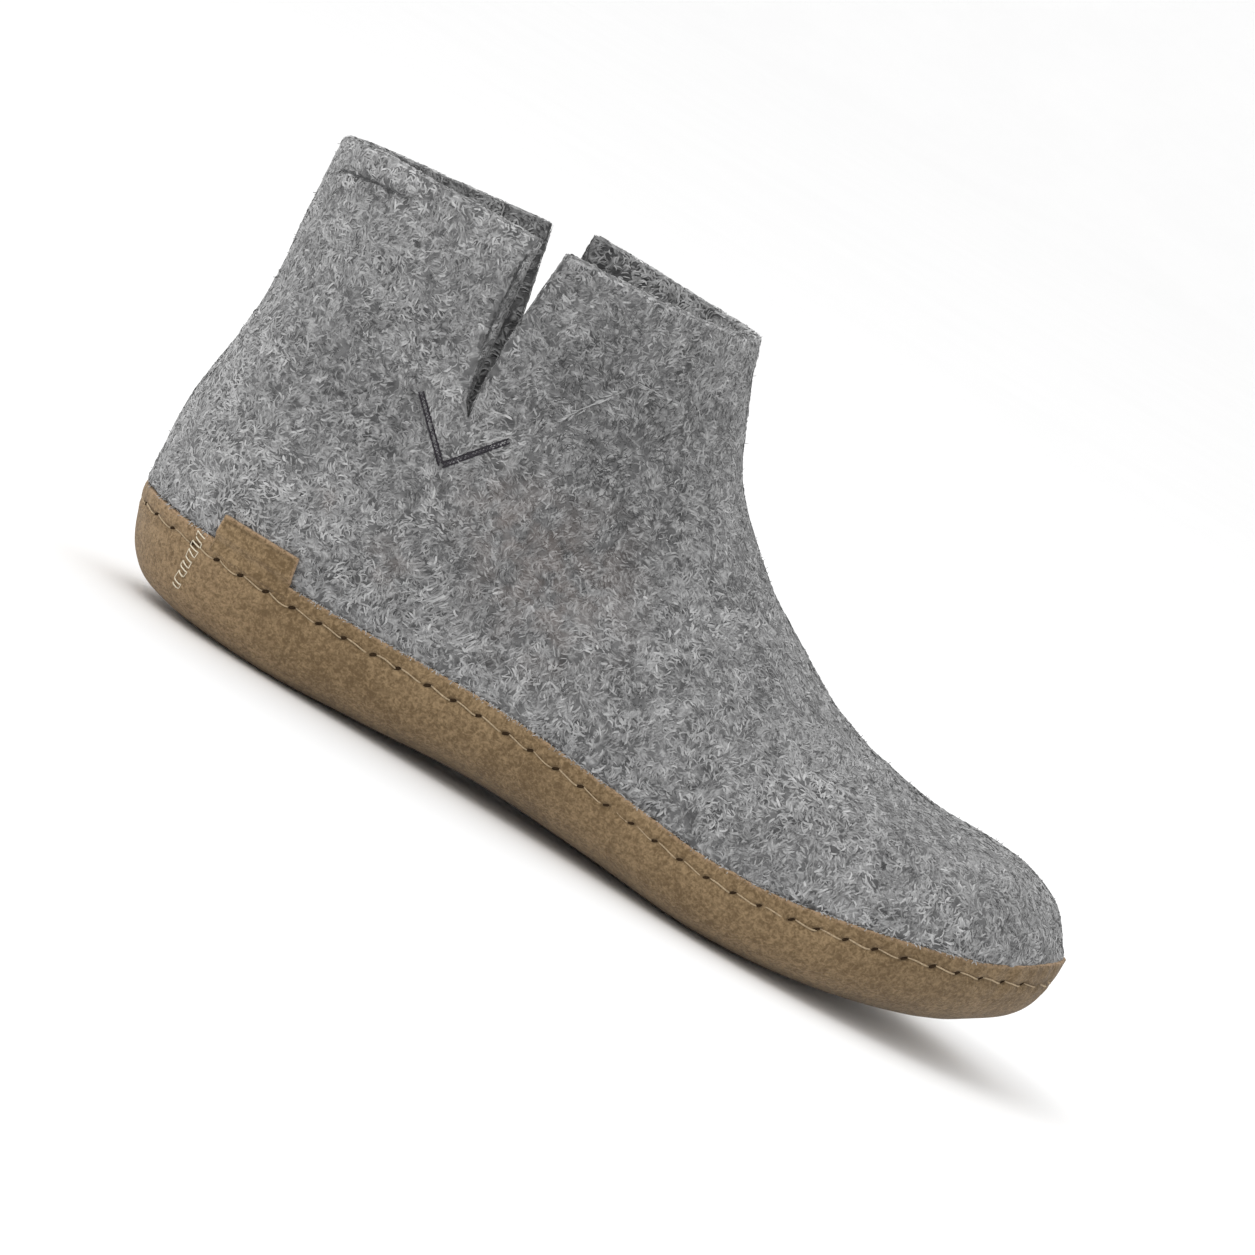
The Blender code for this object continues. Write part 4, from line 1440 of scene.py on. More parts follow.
def strand_mesh(name, grids, shades):
    """One mesh of many ribbons, each a strip of faces with a painted shade."""
    count, points = grids.shape[:2]
    vertices = (grids.reshape(-1, 3) + HEEL_PLACE) * MILLIMETRE
    base = np.arange(count)[:, None] * points * 2 + np.arange(points - 1)[None, :] * 2
    faces = np.stack([base, base + 1, base + 3, base + 2], axis=-1).reshape(-1, 4)
    mesh = bpy.data.meshes.new(name)
    mesh.vertices.add(len(vertices))
    mesh.vertices.foreach_set("co", vertices.astype(np.float32).ravel())
    mesh.loops.add(faces.size)
    mesh.loops.foreach_set("vertex_index", faces.astype(np.int32).ravel())
    mesh.polygons.add(len(faces))
    mesh.polygons.foreach_set("loop_start", np.arange(0, faces.size, 4, dtype=np.int32))
    mesh.polygons.foreach_set("use_smooth", np.ones(len(faces), dtype=bool))
    paint = mesh.attributes.new("shade", "FLOAT", "POINT")
    paint.data.foreach_set("value", np.repeat(shades, points * 2).astype(np.float32))
    mesh.update(calc_edges=True)
    mesh.validate()
    return mesh


def wool_tone_and_painted_light(points):
    """How much lighter or darker the strands are painted over the boot, as a share of the shades: random
    tufts and blotches of the wool, and painted light and shade.
    """
    return waves(points, WOOL_TUFTS) + marks(points, PAINTED_LIGHT_AND_TONES)


def strand_set(surface, first, second, generator, sizes, tone=0.0):
    """Curly strands on a surface, most of them along a wandering flow; the light ones lie on top."""
    count = len(first)
    start = surface(first, second)
    length = sizes.strand_length / MILLIMETRE * generator.uniform(*STRAND_LENGTHS, count)
    bend = generator.choice((-1, 1), count) * generator.uniform(0.0, STRAND_BEND, count)
    heading = waves(start, STRAND_FLOW) + generator.normal(0, STRAND_STRAY, count)
    shades = generator.normal(STRAND_SHADE, SHADE_SPREAD, count) + tone + wool_tone_and_painted_light(start)
    shades = np.clip(shades, DARKEST, 1.0)
    share = np.linspace(0, 1, STRAND_POINTS)
    top = STRAND_SINK + STRAND_RISE * shades * generator.uniform(*STRAND_RISES, count)
    arch = top[:, None] * np.sin(math.pi * share) - STRAND_SINK
    first, second, paths, out = lay_strands(surface, first, second, length, heading, bend, arch)
    width = sizes.strand_width / MILLIMETRE * generator.uniform(*STRAND_WIDTHS, count)[:, None]
    width = width * (STRAND_END_WIDTH + (1 - STRAND_END_WIDTH) * np.sin(math.pi * share))
    facing = unit(out + STRAND_TILT * generator.normal(0, 1, (count, 3)))[:, None]
    return first, second, ribbons(paths, facing, width), shades


def make_strands(sizes, material):
    """Layers of short strands of wool on the outer face of the felt."""
    for number in range(STRAND_PIECES):
        generator = np.random.default_rng(STRAND_SEED + number)
        place, angle = strand_starts(generator, sizes.strand_count, over_rim)
        places, angles, grids, shades = strand_set(felt_surface, place, angle, generator, sizes)
        points = skin(places, angles)
        low = points[..., 2] < rim_height(points[..., 0]) + toe_lift(points) - RIM_OVERHANG
        good = ~(over_slit(places, angles) | low).any(axis=1)
        # Painted highlight: paler strands close under the collar
        edge = EDGE_TONE * np.exp(-(below_collar(skin(place, angle)) / EDGE_BAND) ** 2)
        shades = np.clip(shades + edge, 0, 1)
        name = "wool_strands_%d" % (number + 1)
        add_piece(name, strand_mesh(name, grids[good], shades[good]), [material])


def slit_line(generator, sizes):
    """Dark strands along the outer edge of the outer slit's back face, painted shade where the felt is folded
    in.
    """
    count = SLIT_LINE_STRANDS
    place = SLIT_FOOT + (COLLAR - SLIT_FOOT) * generator.uniform(*SLIT_LINE_RUN, count)
    share = generator.normal(SLIT_LINE_INWARD, SLIT_LINE_INWARD, count)
    length = sizes.strand_length / MILLIMETRE * generator.uniform(*SLIT_LINE_LENGTHS, count)
    rise = SLIT_LINE_RISE * np.sin(math.pi * np.linspace(0, 1, STRAND_POINTS))
    arch = rise[None, :] * np.ones((count, 1))
    heading = generator.normal(0, SLIT_LINE_STRAY, count)
    _, _, paths, out = lay_strands(slit_face("outer", 0), place, share, length, heading, 0 * heading, arch)
    width = np.full(paths.shape[:2], SLIT_LINE_WIDTH * sizes.strand_width / MILLIMETRE)
    return ribbons(paths, out[:, None], width), generator.uniform(*SLIT_LINE_SHADES, count)


def make_inner_wool(sizes, material):
    """Strands on the inner face of the felt under the collar and on the cut faces of the slits."""
    generator = np.random.default_rng(INSIDE_SEED)
    place, angle = strand_starts(generator, INSIDE_STRANDS, near_collar)
    # Painted light and shade: lighter close under the collar, darker deeper inside the boot
    depth = np.clip(below_collar(skin(place, angle)) / INSIDE_BAND, 0, 1)
    tone = INSIDE_TONE - INSIDE_DARKENING * depth
    places, angles, grids, shades = strand_set(felt_inside, place, angle, generator, sizes, tone)
    good = ~over_slit(places, angles).any(axis=1)
    found = [(grids[good], shades[good])]
    for side in SIGNS:
        for edge in (0, 1):
            place = generator.uniform(SLIT_FOOT + SLIT_FREE_FOOT, COLLAR - SLIT_FREE_TOP, SLIT_STRANDS)
            share = generator.uniform(0.0, 1.0, SLIT_STRANDS)
            _, shares, grids, shades = strand_set(slit_face(side, edge), place, share, generator, sizes)
            good = ((shares > -FACE_OVERRUN) & (shares < 1 + FACE_OVERRUN)).all(axis=1)
            # Painted shade deep in the slit and at its outer edge, painted light over the cut face
            darker = SLIT_DEEP_TONE * smooth_step((share - SLIT_DEEP_START) / (1 - SLIT_DEEP_START))
            darker = darker + SLIT_EDGE_TONE * np.exp(-(share / SLIT_EDGE_BAND) ** 2)
            found.append((grids[good], np.clip(shades + SLIT_TONE - darker, DARKEST, 1)[good]))
    # Strands on the collar's cut face, lighter as a painted highlight
    angle = generator.uniform(-math.pi, math.pi, COLLAR_STRANDS)
    share = generator.uniform(*COLLAR_STARTS, COLLAR_STRANDS)
    shares, angles, grids, shades = strand_set(collar_face, share, angle, generator, sizes, COLLAR_TONE)
    good = ~((shares > COLLAR_END) | over_slit(np.full(angles.shape, COLLAR), angles)).any(axis=1)
    found.append((grids[good], shades[good]))
    mesh = strand_mesh("wool_inside", *(np.concatenate(part) for part in zip(*found)))
    return add_piece("wool_inside", mesh, [material])


def line_strands(generator, sizes, count, shade, wander, path):
    """Strands of one shade along a path in the side view of the outer side."""
    spots = np.array(path)
    way = running_length(spots)
    length = min(sizes.strand_length / MILLIMETRE, way[-1])
    share = np.linspace(0, 1, STRAND_POINTS)
    at = generator.uniform(0, way[-1] - 0.5 * length, count)[:, None] + length * share
    line = np.stack([np.interp(at, way, column) for column in spots.T], axis=-1)
    line = line + wander * generator.normal(0, 1, (count, 1, 2)) * (1.5 - share)[:, None]
    points, out = felt_points(line, 1, LINE_LIFT + LINE_LIFT * np.sin(math.pi * share))
    width = LINE_WIDTH * sizes.strand_width / MILLIMETRE * np.sin(math.pi * (0.1 + 0.8 * share))
    shades = np.clip(generator.normal(shade, LINE_SHADE_SPREAD, count), 0, 1)
    return ribbons(points, out, width * np.ones((count, 1))), shades


def make_wool_lines(sizes, material):
    """Strands along the slit's folded edge and the collar's fold as painted shade, along the front ridge as a
    painted highlight, and the dark specks.
    """
    generator = np.random.default_rng(LINE_SEED)
    found = [line_strands(generator, sizes, *line) for line in STRAND_LINES.values()]
    found.append(slit_line(generator, sizes))
    mesh = strand_mesh("wool_lines", *(np.concatenate(part) for part in zip(*found)))
    return add_piece("wool_lines", mesh, [material])


def make_fuzz(sizes, material):
    """Short loose hairs along the collar and over the sole's rim, and a few all over the felt."""
    generator = np.random.default_rng(FUZZ_SEED)
    count = sizes.fuzz_count
    third = count // 3
    place, angle = strand_starts(generator, count, over_rim)
    angle[:third] = generator.uniform(-math.pi, math.pi, third)
    place[:third] = COLLAR - generator.uniform(0.0, FUZZ_COLLAR_BAND, third)
    ring = rim_ring(-FUZZ_RIM_HEIGHT)
    chosen = generator.integers(0, ring.shape[1], third)
    place[third:2 * third], angle[third:2 * third] = ring[:, chosen]
    group = np.minimum(np.arange(count) // third, 2)
    keep = ~(over_slit(place, angle) | (toe_lift(skin(place, angle)) > FUZZ_TOE_LIMIT) & (group == 1))
    place, angle, group = place[keep], angle[keep], group[keep]
    count = len(place)
    root = felt_surface(place, angle, -FUZZ_ROOT)
    normal = skin_normals(place, angle)
    up = unit(np.cross(normal, np.cross((0.0, 0.0, 1.0), normal)))
    side = np.cross(normal, up)
    lean = generator.normal(0, 1, (count, 3))
    inward = normal * generator.uniform(-FELT, FUZZ_COLLAR_RISE, (count, 1))
    root[group == 0] += (inward + up * FUZZ_COLLAR_RISE)[group == 0]
    rise = np.choose(group, FUZZ_UP)[:, None]
    away = unit(np.choose(group, FUZZ_OUT)[:, None] * normal + (rise + FUZZ_STRAY_UP * lean[:, 1:2]) * up
                + FUZZ_STRAY_ASIDE * lean[:, :1] * side)
    bend = unit(np.cross(away, lean)) * generator.uniform(*FUZZ_BEND, count)[:, None]
    length = generator.uniform(*FUZZ_LENGTHS, count) * np.choose(group, FUZZ_LENGTH)
    share = np.linspace(0, 1, STRAND_POINTS)[None, :, None]
    way = away[:, None] * share + bend[:, None] * share ** 2 * FUZZ_CURL
    paths = root[:, None] + way * length[:, None, None]
    width = sizes.strand_width / MILLIMETRE * FUZZ_WIDTH * (1 - 0.5 * share[..., 0]) * np.ones((count, 1))
    facing = np.repeat(unit(normal + STRAND_TILT * lean)[:, None], STRAND_POINTS, axis=1)
    mesh = strand_mesh("wool_fuzz", ribbons(paths, facing, width), generator.uniform(*FUZZ_SHADES, count))
    return add_piece("wool_fuzz", mesh, [material])


def nearest_distance(points, targets):
    """Distance of each point from the nearest of the targets."""
    nearest = np.empty(len(points))
    for start in range(0, len(points), NEAREST_BATCH):
        batch = slice(start, start + NEAREST_BATCH)
        squares = ((points[batch, None] - targets[None]) ** 2).sum(axis=2)
        nearest[batch] = np.sqrt(squares.min(axis=1))
    return nearest


def seam_line(sizes):
    """The rim's seam: its section places and angles, its running length, and its holes along it."""
    line = rim_ring(sizes.stitch_drop / MILLIMETRE)
    points = layer(*line, SEAT_GAP + LEATHER)
    way = running_length(points)
    count = round(way[-1] * MILLIMETRE / sizes.stitch_pitch)
    wander = np.random.default_rng(SEAM_SEED).normal(0, SEAM_WANDER, count)
    return line, way, SEAM_START + np.arange(count) * way[-1] / count + wander


def on_seam(seam, at, height):
    """Rows of points over the seam at distances along it, and the directions out and towards the rim."""
    line, way, _ = seam
    place, angle = (np.interp(at % way[-1], way, values) for values in line)
    points = layer(place, angle, SEAT_GAP + LEATHER + height)
    out = skin_normals(place, angle)
    return points, out, unit(np.cross(out, np.gradient(points, axis=1)))


def hole_paths(seam, height):
    """Short slanted rows of points through the stitch holes, and the directions out."""
    reach = HOLE_LENGTH / 2 * np.linspace(-1, 1, 7)
    at = seam[2][:, None] + reach * math.cos(HOLE_SLANT)
    points, out, up = on_seam(seam, at, height)
    return points + up * (reach * math.sin(HOLE_SLANT))[:, None], out


def suede_relief(points, seam):
    """Height of the suede over its smooth form, and the painted shade of its holes and seam."""
    flat = points.reshape(-1, 3)
    holes = hole_paths(seam, 0.0)[0][:, 1:-1].reshape(-1, 3)
    from_seam, from_hole = (nearest_distance(flat, targets).reshape(points.shape[:-1])
                            for targets in (layer(*seam[0], SEAT_GAP + LEATHER), holes))
    from_dart = line_distance(points[..., [0, 2]], HEEL_SEAM)
    away, width, rise = SEAM_RIDGE
    height = gathers(points) + SUEDE_WAVES * unevenness(points)
    height = height + rise * np.exp(-((from_seam - away) / width) ** 2)
    troughs = ((from_seam, SEAM_TROUGH), (from_hole, HOLE_TROUGH), (from_dart, HEEL_SEAM_TROUGH))
    for far, (width, depth) in troughs:
        height = height - depth * np.exp(-(far / width) ** 2)
    holes = HOLE_SHADE * hole_depth(points) * np.exp(-(from_hole / SHADE_REACH) ** 2)
    return height, holes + SEAM_SHADE * np.exp(-(from_seam / SHADE_REACH) ** 2)


def hole_depth(points):
    """How much of the stitch holes is left open: the nap closes those round the toe."""
    return 1 - HOLE_CLOSING * smooth_step((points[..., 0] - HOLE_CLOSING_START) / HOLE_CLOSING_EASE)


def gathers(points):
    """Small folds of the leather round the toe, in millimetres."""
    near_toe = smooth_step((points[..., 0] - GATHER_START) / GATHER_EASE)
    under_rim = np.clip(1 - (rim_height(points[..., 0]) - points[..., 2]) / GATHER_DROP, 0, 1)
    turn = np.arctan2(points[..., 1] - GATHER_CENTRE[1], points[..., 0] - GATHER_CENTRE[0])
    folds = sum(height * np.sin(turn * count + start) for height, count, start in GATHER_FOLDS)
    return near_toe * under_rim * folds


def make_sole(sizes, colours):
    """The suede cup, with its seam sunk in, its gathers and its cut rim."""
    places = even_places(0, HEEL_RIM, SOLE_ROWS)
    near = np.linspace(0, 1, RIM_COLUMNS + 1)
    below = np.linspace(0, 1, UNDER_COLUMNS + 1)[1:]
    angles = []
    for place in places:
        row = []
        for side, sign in SIGNS.items():
            _, rim = edge_angles(place, side)
            points = skin(max(place, TIP_STEP), sign * np.linspace(0, rim, CURVE_SAMPLES))
            length = np.linalg.norm(np.diff(points, axis=0), axis=1).sum()
            band = min(RIM_BAND / length, RIM_BAND_MOST) if length else RIM_BAND_MOST
            shares = 1 - np.concatenate([near * band, band + below * (1 - band)])
            row.append(sign * spread(place, sign, 0, rim, shares))
        angles.append(np.concatenate([row[0], row[1][-2::-1]]))
    angles = np.array(angles)
    places = places[:, None]
    under = layer(places, angles, SEAT_GAP + LEATHER)
    height, dark = suede_relief(under, seam_line(sizes))
    off_floor = smooth_step((under[..., 2] - FLOOR_CLEAR) / FLOOR_EASE)
    outside = under + skin_normals(places, angles) * (height * off_floor)[..., None]
    outside[..., 2] = np.where(under[..., 2] < FLAT_SNAP, 0.0, np.maximum(outside[..., 2], 0.0))
    inside = layer(places, angles, SEAT_GAP)
    to_rim = np.minimum(*(np.linalg.norm(under - rim, axis=2) for rim in (under[:, :1], under[:, -1:])))
    lift = toe_lift(under) * np.exp(-(to_rim / TOE_LIFT_BAND) ** 2)
    outside[..., 2] += lift
    inside[..., 2] += lift
    start, run = HEEL_PALE_END
    heel = 1 - smooth_step((under[..., 0] - start) / run)
    edge = RIM_PALE * np.exp(-(to_rim / RIM_PALE_WIDTH) ** 2)
    edge = edge + heel * (HEEL_PALE + HEEL_RIM_PALE * np.exp(-(to_rim / HEEL_RIM_WIDTH) ** 2))
    for start, run, amount in SUEDE_DARKER:
        dark = dark + amount * smooth_step((under[..., 0] - start) / run)
    shell = Shell("edge", "dark")
    shell.add(outside, (edge, dark))
    shell.add(inside)
    for column, beside in ((0, 1), (-1, -2)):
        out = unit(outside[:, column] - outside[:, beside])
        rows = np.arange(len(out))
        ragged = RIM_LIP + 0.06 * np.sin(rows * 1.3) + 0.05 * np.sin(rows * 0.37)
        rim = lip(outside[:, column], inside[:, column], out, ragged)
        shell.add(rim, (CUT_PALE, 0.0))
    mesh = shell.mesh("suede_sole")
    return add_piece("suede_sole", mesh, [suede_material(colours)], "sole")


def make_rim_stitches(sizes, colours):
    """The thread round the rim: a dark slanted piece of painted shade in each stitch hole and a thread
    dipping between them.
    """
    generator = np.random.default_rng(THREAD_SEED)
    seam = seam_line(sizes)
    starts = seam[2]
    count = len(starts)
    pitch = seam[1][-1] / count
    share = np.linspace(0, 1, 11)
    arch = np.sin(math.pi * share)
    dip = -THREAD_DIP + np.clip(arch * 2.0, 0, 1) * generator.uniform(*THREAD_RISES, count)[:, None]
    points, out, up = on_seam(seam, starts[:, None] + (THREAD_START + THREAD_SPAN * share) * pitch, 0.0)
    sway = THREAD_SLANT * np.cos(math.pi * share) + arch * generator.normal(0, THREAD_SWAY, count)[:, None]
    paths = points + out * dip[..., None] + up * sway[..., None]
    radius = sizes.thread_width / MILLIMETRE / 2 * generator.uniform(*THREAD_WIDTHS, count)
    shell = Shell()
    shell.add_tubes(paths, out, radius[:, None])
    # Dark pieces in the stitch holes: painted shade
    paths, out = hole_paths(seam, -HOLE_SINK)
    bulge = np.sqrt(np.clip(1.02 - np.linspace(-1, 1, paths.shape[1]) ** 2, 0, 1))
    shell.add_tubes(paths, out, HOLE_RADIUS * bulge * hole_depth(paths), 8, finish=1)
    mesh = shell.mesh("rim_stitches")
    threads = [thread_material("rim_thread", colours.rim_thread), hole_material(colours)]
    return add_piece("rim_stitches", mesh, threads)


def leather_points(spots, sign, height):
    """Points over the leather's side at places in the side view, and their outward directions."""
    place, angle = find_on_side(spots[..., 0], spots[..., 1])
    return layer(place, sign * angle, SEAT_GAP + LEATHER + height), skin_normals(place, sign * angle)


def make_heel_stitches(sizes, colours):
    """Thin uneven whip stitches across the seam on each side of the heel, joined at every other end."""
    generator = np.random.default_rng(WHIP_SEED)
    top, foot = np.array(HEEL_SEAM)
    count = sizes.whip_count
    share = np.linspace(0.02, 0.98, count) + generator.uniform(-WHIP_STRAY, WHIP_STRAY, count)
    middle = top + (foot - top) * share[:, None]
    lengths = sizes.whip_length / MILLIMETRE * generator.uniform(*WHIP_LENGTHS, count)
    lengths[0] *= WHIP_FIRST
    slopes = np.radians(generator.normal(WHIP_SLOPE, WHIP_SLOPE_SPREAD, count))
    half = np.stack([np.cos(slopes), np.sin(slopes)], axis=1) * lengths[:, None] / 2
    points = np.linspace(-1, 1, 9)
    side = np.where(np.arange(count - 1) % 2, 1, -1)[:, None]
    ends, others = (middle[:-1] + half[:-1] * side)[:, None], (middle[1:] + half[1:] * side)[:, None]
    hops = ends + (others - ends) * np.linspace(0, 1, 5)[:, None]
    shell = Shell()
    for sign in SIGNS.values():
        spots = middle[:, None] + half[:, None] * points[:, None]
        paths, normals = leather_points(spots, sign, WHIP_RISE - WHIP_DIP * np.abs(points) ** 4)
        shell.add_tubes(paths, normals, WHIP_THREAD / 2)
        paths, normals = leather_points(hops, sign, WHIP_HOP)
        shell.add_tubes(paths, normals, WHIP_THREAD / 3, 5)
    mesh = shell.mesh("heel_stitches")
    thread = thread_material("heel_thread", colours.whip_thread, dark_share=0.75)
    return add_piece("heel_stitches", mesh, [thread])


def felt_points(spots, sign, lift):
    """Points over the felt's side at places in the side view, and their outward directions."""
    place, angle = find_on_side(spots[..., 0], spots[..., 1])
    return felt_surface(place, sign * angle, lift), skin_normals(place, sign * angle)


def make_chevrons(sizes, colours):
    """A chevron of close zigzag stitches between two lines of thread, under the slit on each side."""
    half = sizes.chevron_width / MILLIMETRE / 2
    shell = Shell()
    for sign in SIGNS.values():
        for start, stop in np.array(CHEVRON_BARS):
            run = stop - start
            length = np.linalg.norm(run)
            ahead = run / length
            across = np.array((-ahead[1], ahead[0]))
            for offset in (-half, half):
                stitches = np.arange(round(length / CHEVRON_STITCH))
                share = (stitches[:, None] + np.linspace(0.02, 0.98, 7)) / len(stitches)
                spots = start + run * share[..., None] + across * offset
                arch = CHEVRON_RISE - CHEVRON_DIP * np.abs(np.linspace(-1, 1, 7)) ** 3
                paths, normals = felt_points(spots, sign, arch)
                shell.add_tubes(paths, normals, CHEVRON_THREAD)
            turns = np.arange(round(length / ZIGZAG_STEP))
            sides = np.where(turns % 2, 1, -1) * (half - ZIGZAG_INSET)
            corners = start + run * (turns / len(turns))[:, None] + across * sides[:, None]
            legs = corners[:-1, None] + np.diff(corners, axis=0)[:, None] * np.linspace(0, 1, 5)[:, None]
            paths, normals = felt_points(legs, sign, ZIGZAG_RISE)
            shell.add_tubes(paths, normals, ZIGZAG_THREAD, 5, finish=1)
    mesh = shell.mesh("slit_chevrons")
    middle = tuple(ZIGZAG_PALER * channel for channel in colours.chevron_thread)
    threads = [thread_material("chevron_edge", colours.chevron_thread),
               thread_material("chevron_middle", middle)]
    return add_piece("slit_chevrons", mesh, threads)


def make_tab(sizes, colours):
    """The bare leather tab at the heel's outer side: a crease along its top, cut edges and a flush foot."""
    across = np.linspace(0, 1, TAB_COLUMNS + 1)[:, None]
    share = np.linspace(0, 1, TAB_ROWS + 1)[None, :]
    along = (TAB_BACK + (TAB_FRONT - TAB_BACK) * across) / 100 * LENGTH + TAB_SLANT * across * (0.5 - share)
    rim = rim_height(along)
    top = TAB_TOP / 100 * COLLAR_HEIGHT
    up = rim - TAB_OVERLAP + (top - rim + TAB_OVERLAP) * share
    over = up - rim
    place, angle = find_on_side(along, up)
    plain = layer(place, angle, SEAT_GAP + LEATHER)
    foot, foot_dark = suede_relief(plain, seam_line(sizes))
    free = smooth_step(over / TAB_FREE)
    fold = np.exp(-((top - up - TAB_FOLD_DROP) / TAB_FOLD_WIDTH) ** 2)
    wave = TAB_WAVE * np.sin(across * 5.0 + share * 2.0)
    height = foot * (1 - free) + (wave - TAB_FOLD_DEPTH * fold) * free + TAB_PROUD
    outside = layer(place, angle, SEAT_GAP + LEATHER + height)
    thick = LEATHER * smooth_step((over - TAB_THICK_START) / TAB_THICK_EASE)
    inside = layer(place, angle, SEAT_GAP + LEATHER + (height - TAB_FOOT) * (1 - free) - thick)
    to_edge = np.minimum(np.minimum(across, 1 - across) * (along[-1, 0] - along[0, 0]), top - up)
    edge = TAB_PALE * np.exp(-(to_edge / TAB_PALE_WIDTH) ** 2) * smooth_step(over)
    # Painted shade in the crease, and the painted shade of the holes and seam where the tab lies on the sole
    dark = foot_dark * (1 - free) + TAB_FOLD_SHADE * fold
    shell = Shell("edge", "dark")
    shell.add(outside, (edge, dark))
    shell.add(inside)
    corners = []
    for line, beside in ((np.s_[0], np.s_[1]), (np.s_[-1], np.s_[-2]), (np.s_[:, -1], np.s_[:, -2])):
        cut_edge = smooth_step(over[line])
        ring = lip(outside[line], inside[line], unit(outside[line] - outside[beside]), TAB_LIP * cut_edge)
        shell.add(ring, (TAB_CUT_PALE * cut_edge[:, None],))
        corners.append(ring)
    for side, end in ((0, 0), (1, -1)):
        corner = np.stack([corners[side][-1], corners[2][end]], axis=0)
        shell.add(corner, (TAB_CUT_PALE,))
    shell.add(np.stack([outside[:, 0], inside[:, 0]], axis=1))
    mesh = shell.mesh("suede_tab")
    return add_piece("suede_tab", mesh, [suede_material(colours, "tab_suede")], "tab")


def make_insole(colours):
    """The felt floor inside the boot, trodden a little hollow at the heel and the ball."""
    places = even_places(TREAD_TOE + TREAD_END_GAP, TREAD_HEEL - TREAD_END_GAP, INSOLE_ROWS)
    columns = np.linspace(0, 1, INSOLE_COLUMNS + 1)
    angles = []
    for number, place in enumerate(places):
        inset = BALL_WIDTH if number in (0, len(places) - 1) else SEAT_GAP
        row = []
        for side, sign in SIGNS.items():
            tread, _ = edge_angles(place, side, inset)
            row.append(sign * spread(place, sign, 0, tread, columns))
        angles.append(np.concatenate([row[0][::-1], row[1][1:]]))
    angles = np.array(angles)
    places = places[:, None]
    under = layer(places, angles, 0.0)
    normals = skin_normals(places, angles)
    share = np.abs(np.linspace(-1, 1, 2 * INSOLE_COLUMNS + 1))[None, :]
    trodden = 0.0
    for along, size in TRODDEN:
        far = np.hypot((under[..., 0] - along) / size, under[..., 1] / TRODDEN_WIDTH)
        trodden = trodden + TRODDEN_DEPTH * np.exp(-far ** 2)
    rounded = INSOLE_ROUND * smooth_step((share - INSOLE_ROUND_START) / (1 - INSOLE_ROUND_START))
    top = under - normals * (INSOLE - trodden - rounded + INSOLE_WAVES * unevenness(under))[..., None]
    shell = Shell()
    shell.add(top)
    shell.add(under)
    for column in (0, -1):
        shell.add(np.stack([top[:, column], under[:, column]], axis=1))
    for row in (0, -1):
        shell.add(np.stack([top[row], under[row]], axis=0))
    mesh = shell.mesh("felt_insole")
    felt = felt_material(colours, "insole_felt", darkening=0.4)
    return add_piece("felt_insole", mesh, [felt], "insole")


def make_stage(sizes, colours):
    """The pale floor and backdrop, the lights and the camera."""
    profile = [(FLOOR_FRONT, 0.0)]
    for turn in np.linspace(0, math.pi / 2, FLOOR_STEPS):
        profile.append((FLOOR_REACH + FLOOR_BEND * math.sin(turn), FLOOR_BEND * (1 - math.cos(turn))))
    profile.append((FLOOR_REACH + FLOOR_BEND, FLOOR_WALL))
    corners = [(x, y, z) for y, z in profile for x in (-FLOOR_HALF_WIDTH, FLOOR_HALF_WIDTH)]
    faces = [(2 * row, 2 * row + 1, 2 * row + 3, 2 * row + 2) for row in range(len(profile) - 1)]
    mesh = bpy.data.meshes.new("floor")
    mesh.from_pydata(corners, [], faces)
    mesh.polygons.foreach_set("use_smooth", np.ones(len(faces), dtype=bool))
    mesh.materials.append(floor_material(colours))
    floor = bpy.data.objects.new("floor", mesh)
    bpy.context.scene.collection.objects.link(floor)

    world = bpy.data.worlds.new("studio")
    world.use_nodes = True
    sky = world.node_tree.nodes["Background"]
    sky.inputs["Color"].default_value = (1.0, 1.0, 1.0, 1.0)
    sky.inputs["Strength"].default_value = SKY_STRENGTH
    bpy.context.scene.world = world
    for name, (spot, size, power) in LIGHTS.items():
        light = bpy.data.lights.new(name, "AREA")
        light.size = size
        light.energy = power
        lamp = bpy.data.objects.new(name, light)
        lamp.location = spot
        lamp.rotation_euler = (Vector(LIGHT_AIM) - Vector(spot)).to_track_quat("-Z", "Y").to_euler()
        bpy.context.scene.collection.objects.link(lamp)
    add_camera(sizes)
    bpy.context.scene.view_settings.view_transform = "Standard"


def add_camera(sizes):
    """The camera at the picture's angle to the boot, rolled so that the heel is up."""
    target = Vector(PICTURE_MIDDLE)
    azimuth, elevation = sizes.camera_azimuth, sizes.camera_elevation
    back = Vector((math.sin(azimuth) * math.cos(elevation), -math.cos(azimuth) * math.cos(elevation),
                   math.sin(elevation)))
    data = bpy.data.cameras.new("camera")
    data.sensor_width = SENSOR_WIDTH
    data.lens = SENSOR_WIDTH * sizes.camera_distance / PICTURE_WIDTH
    data.clip_end = CLIP_END
    camera = bpy.data.objects.new("camera", data)
    turn = (-back).to_track_quat("-Z", "Y").to_matrix().to_4x4()
    roll = Matrix.Rotation(sizes.camera_roll, 4, "Z")
    camera.matrix_world = Matrix.Translation(target + back * sizes.camera_distance) @ turn @ roll
    bpy.context.scene.collection.objects.link(camera)
    bpy.context.scene.camera = camera


# Operators and panel


def boot_values(context):
    """The boot's sizes and colours."""
    return context.scene.felt_boot_sizes, context.scene.felt_boot_colours


class FELTBOOT_OT_upper(bpy.types.Operator):
    """Make the felt upper"""
    bl_idname = "felt_boot.upper"
    bl_label = "Felt upper"

    def execute(self, context):
        make_upper(context.scene.felt_boot_colours)
        return {"FINISHED"}


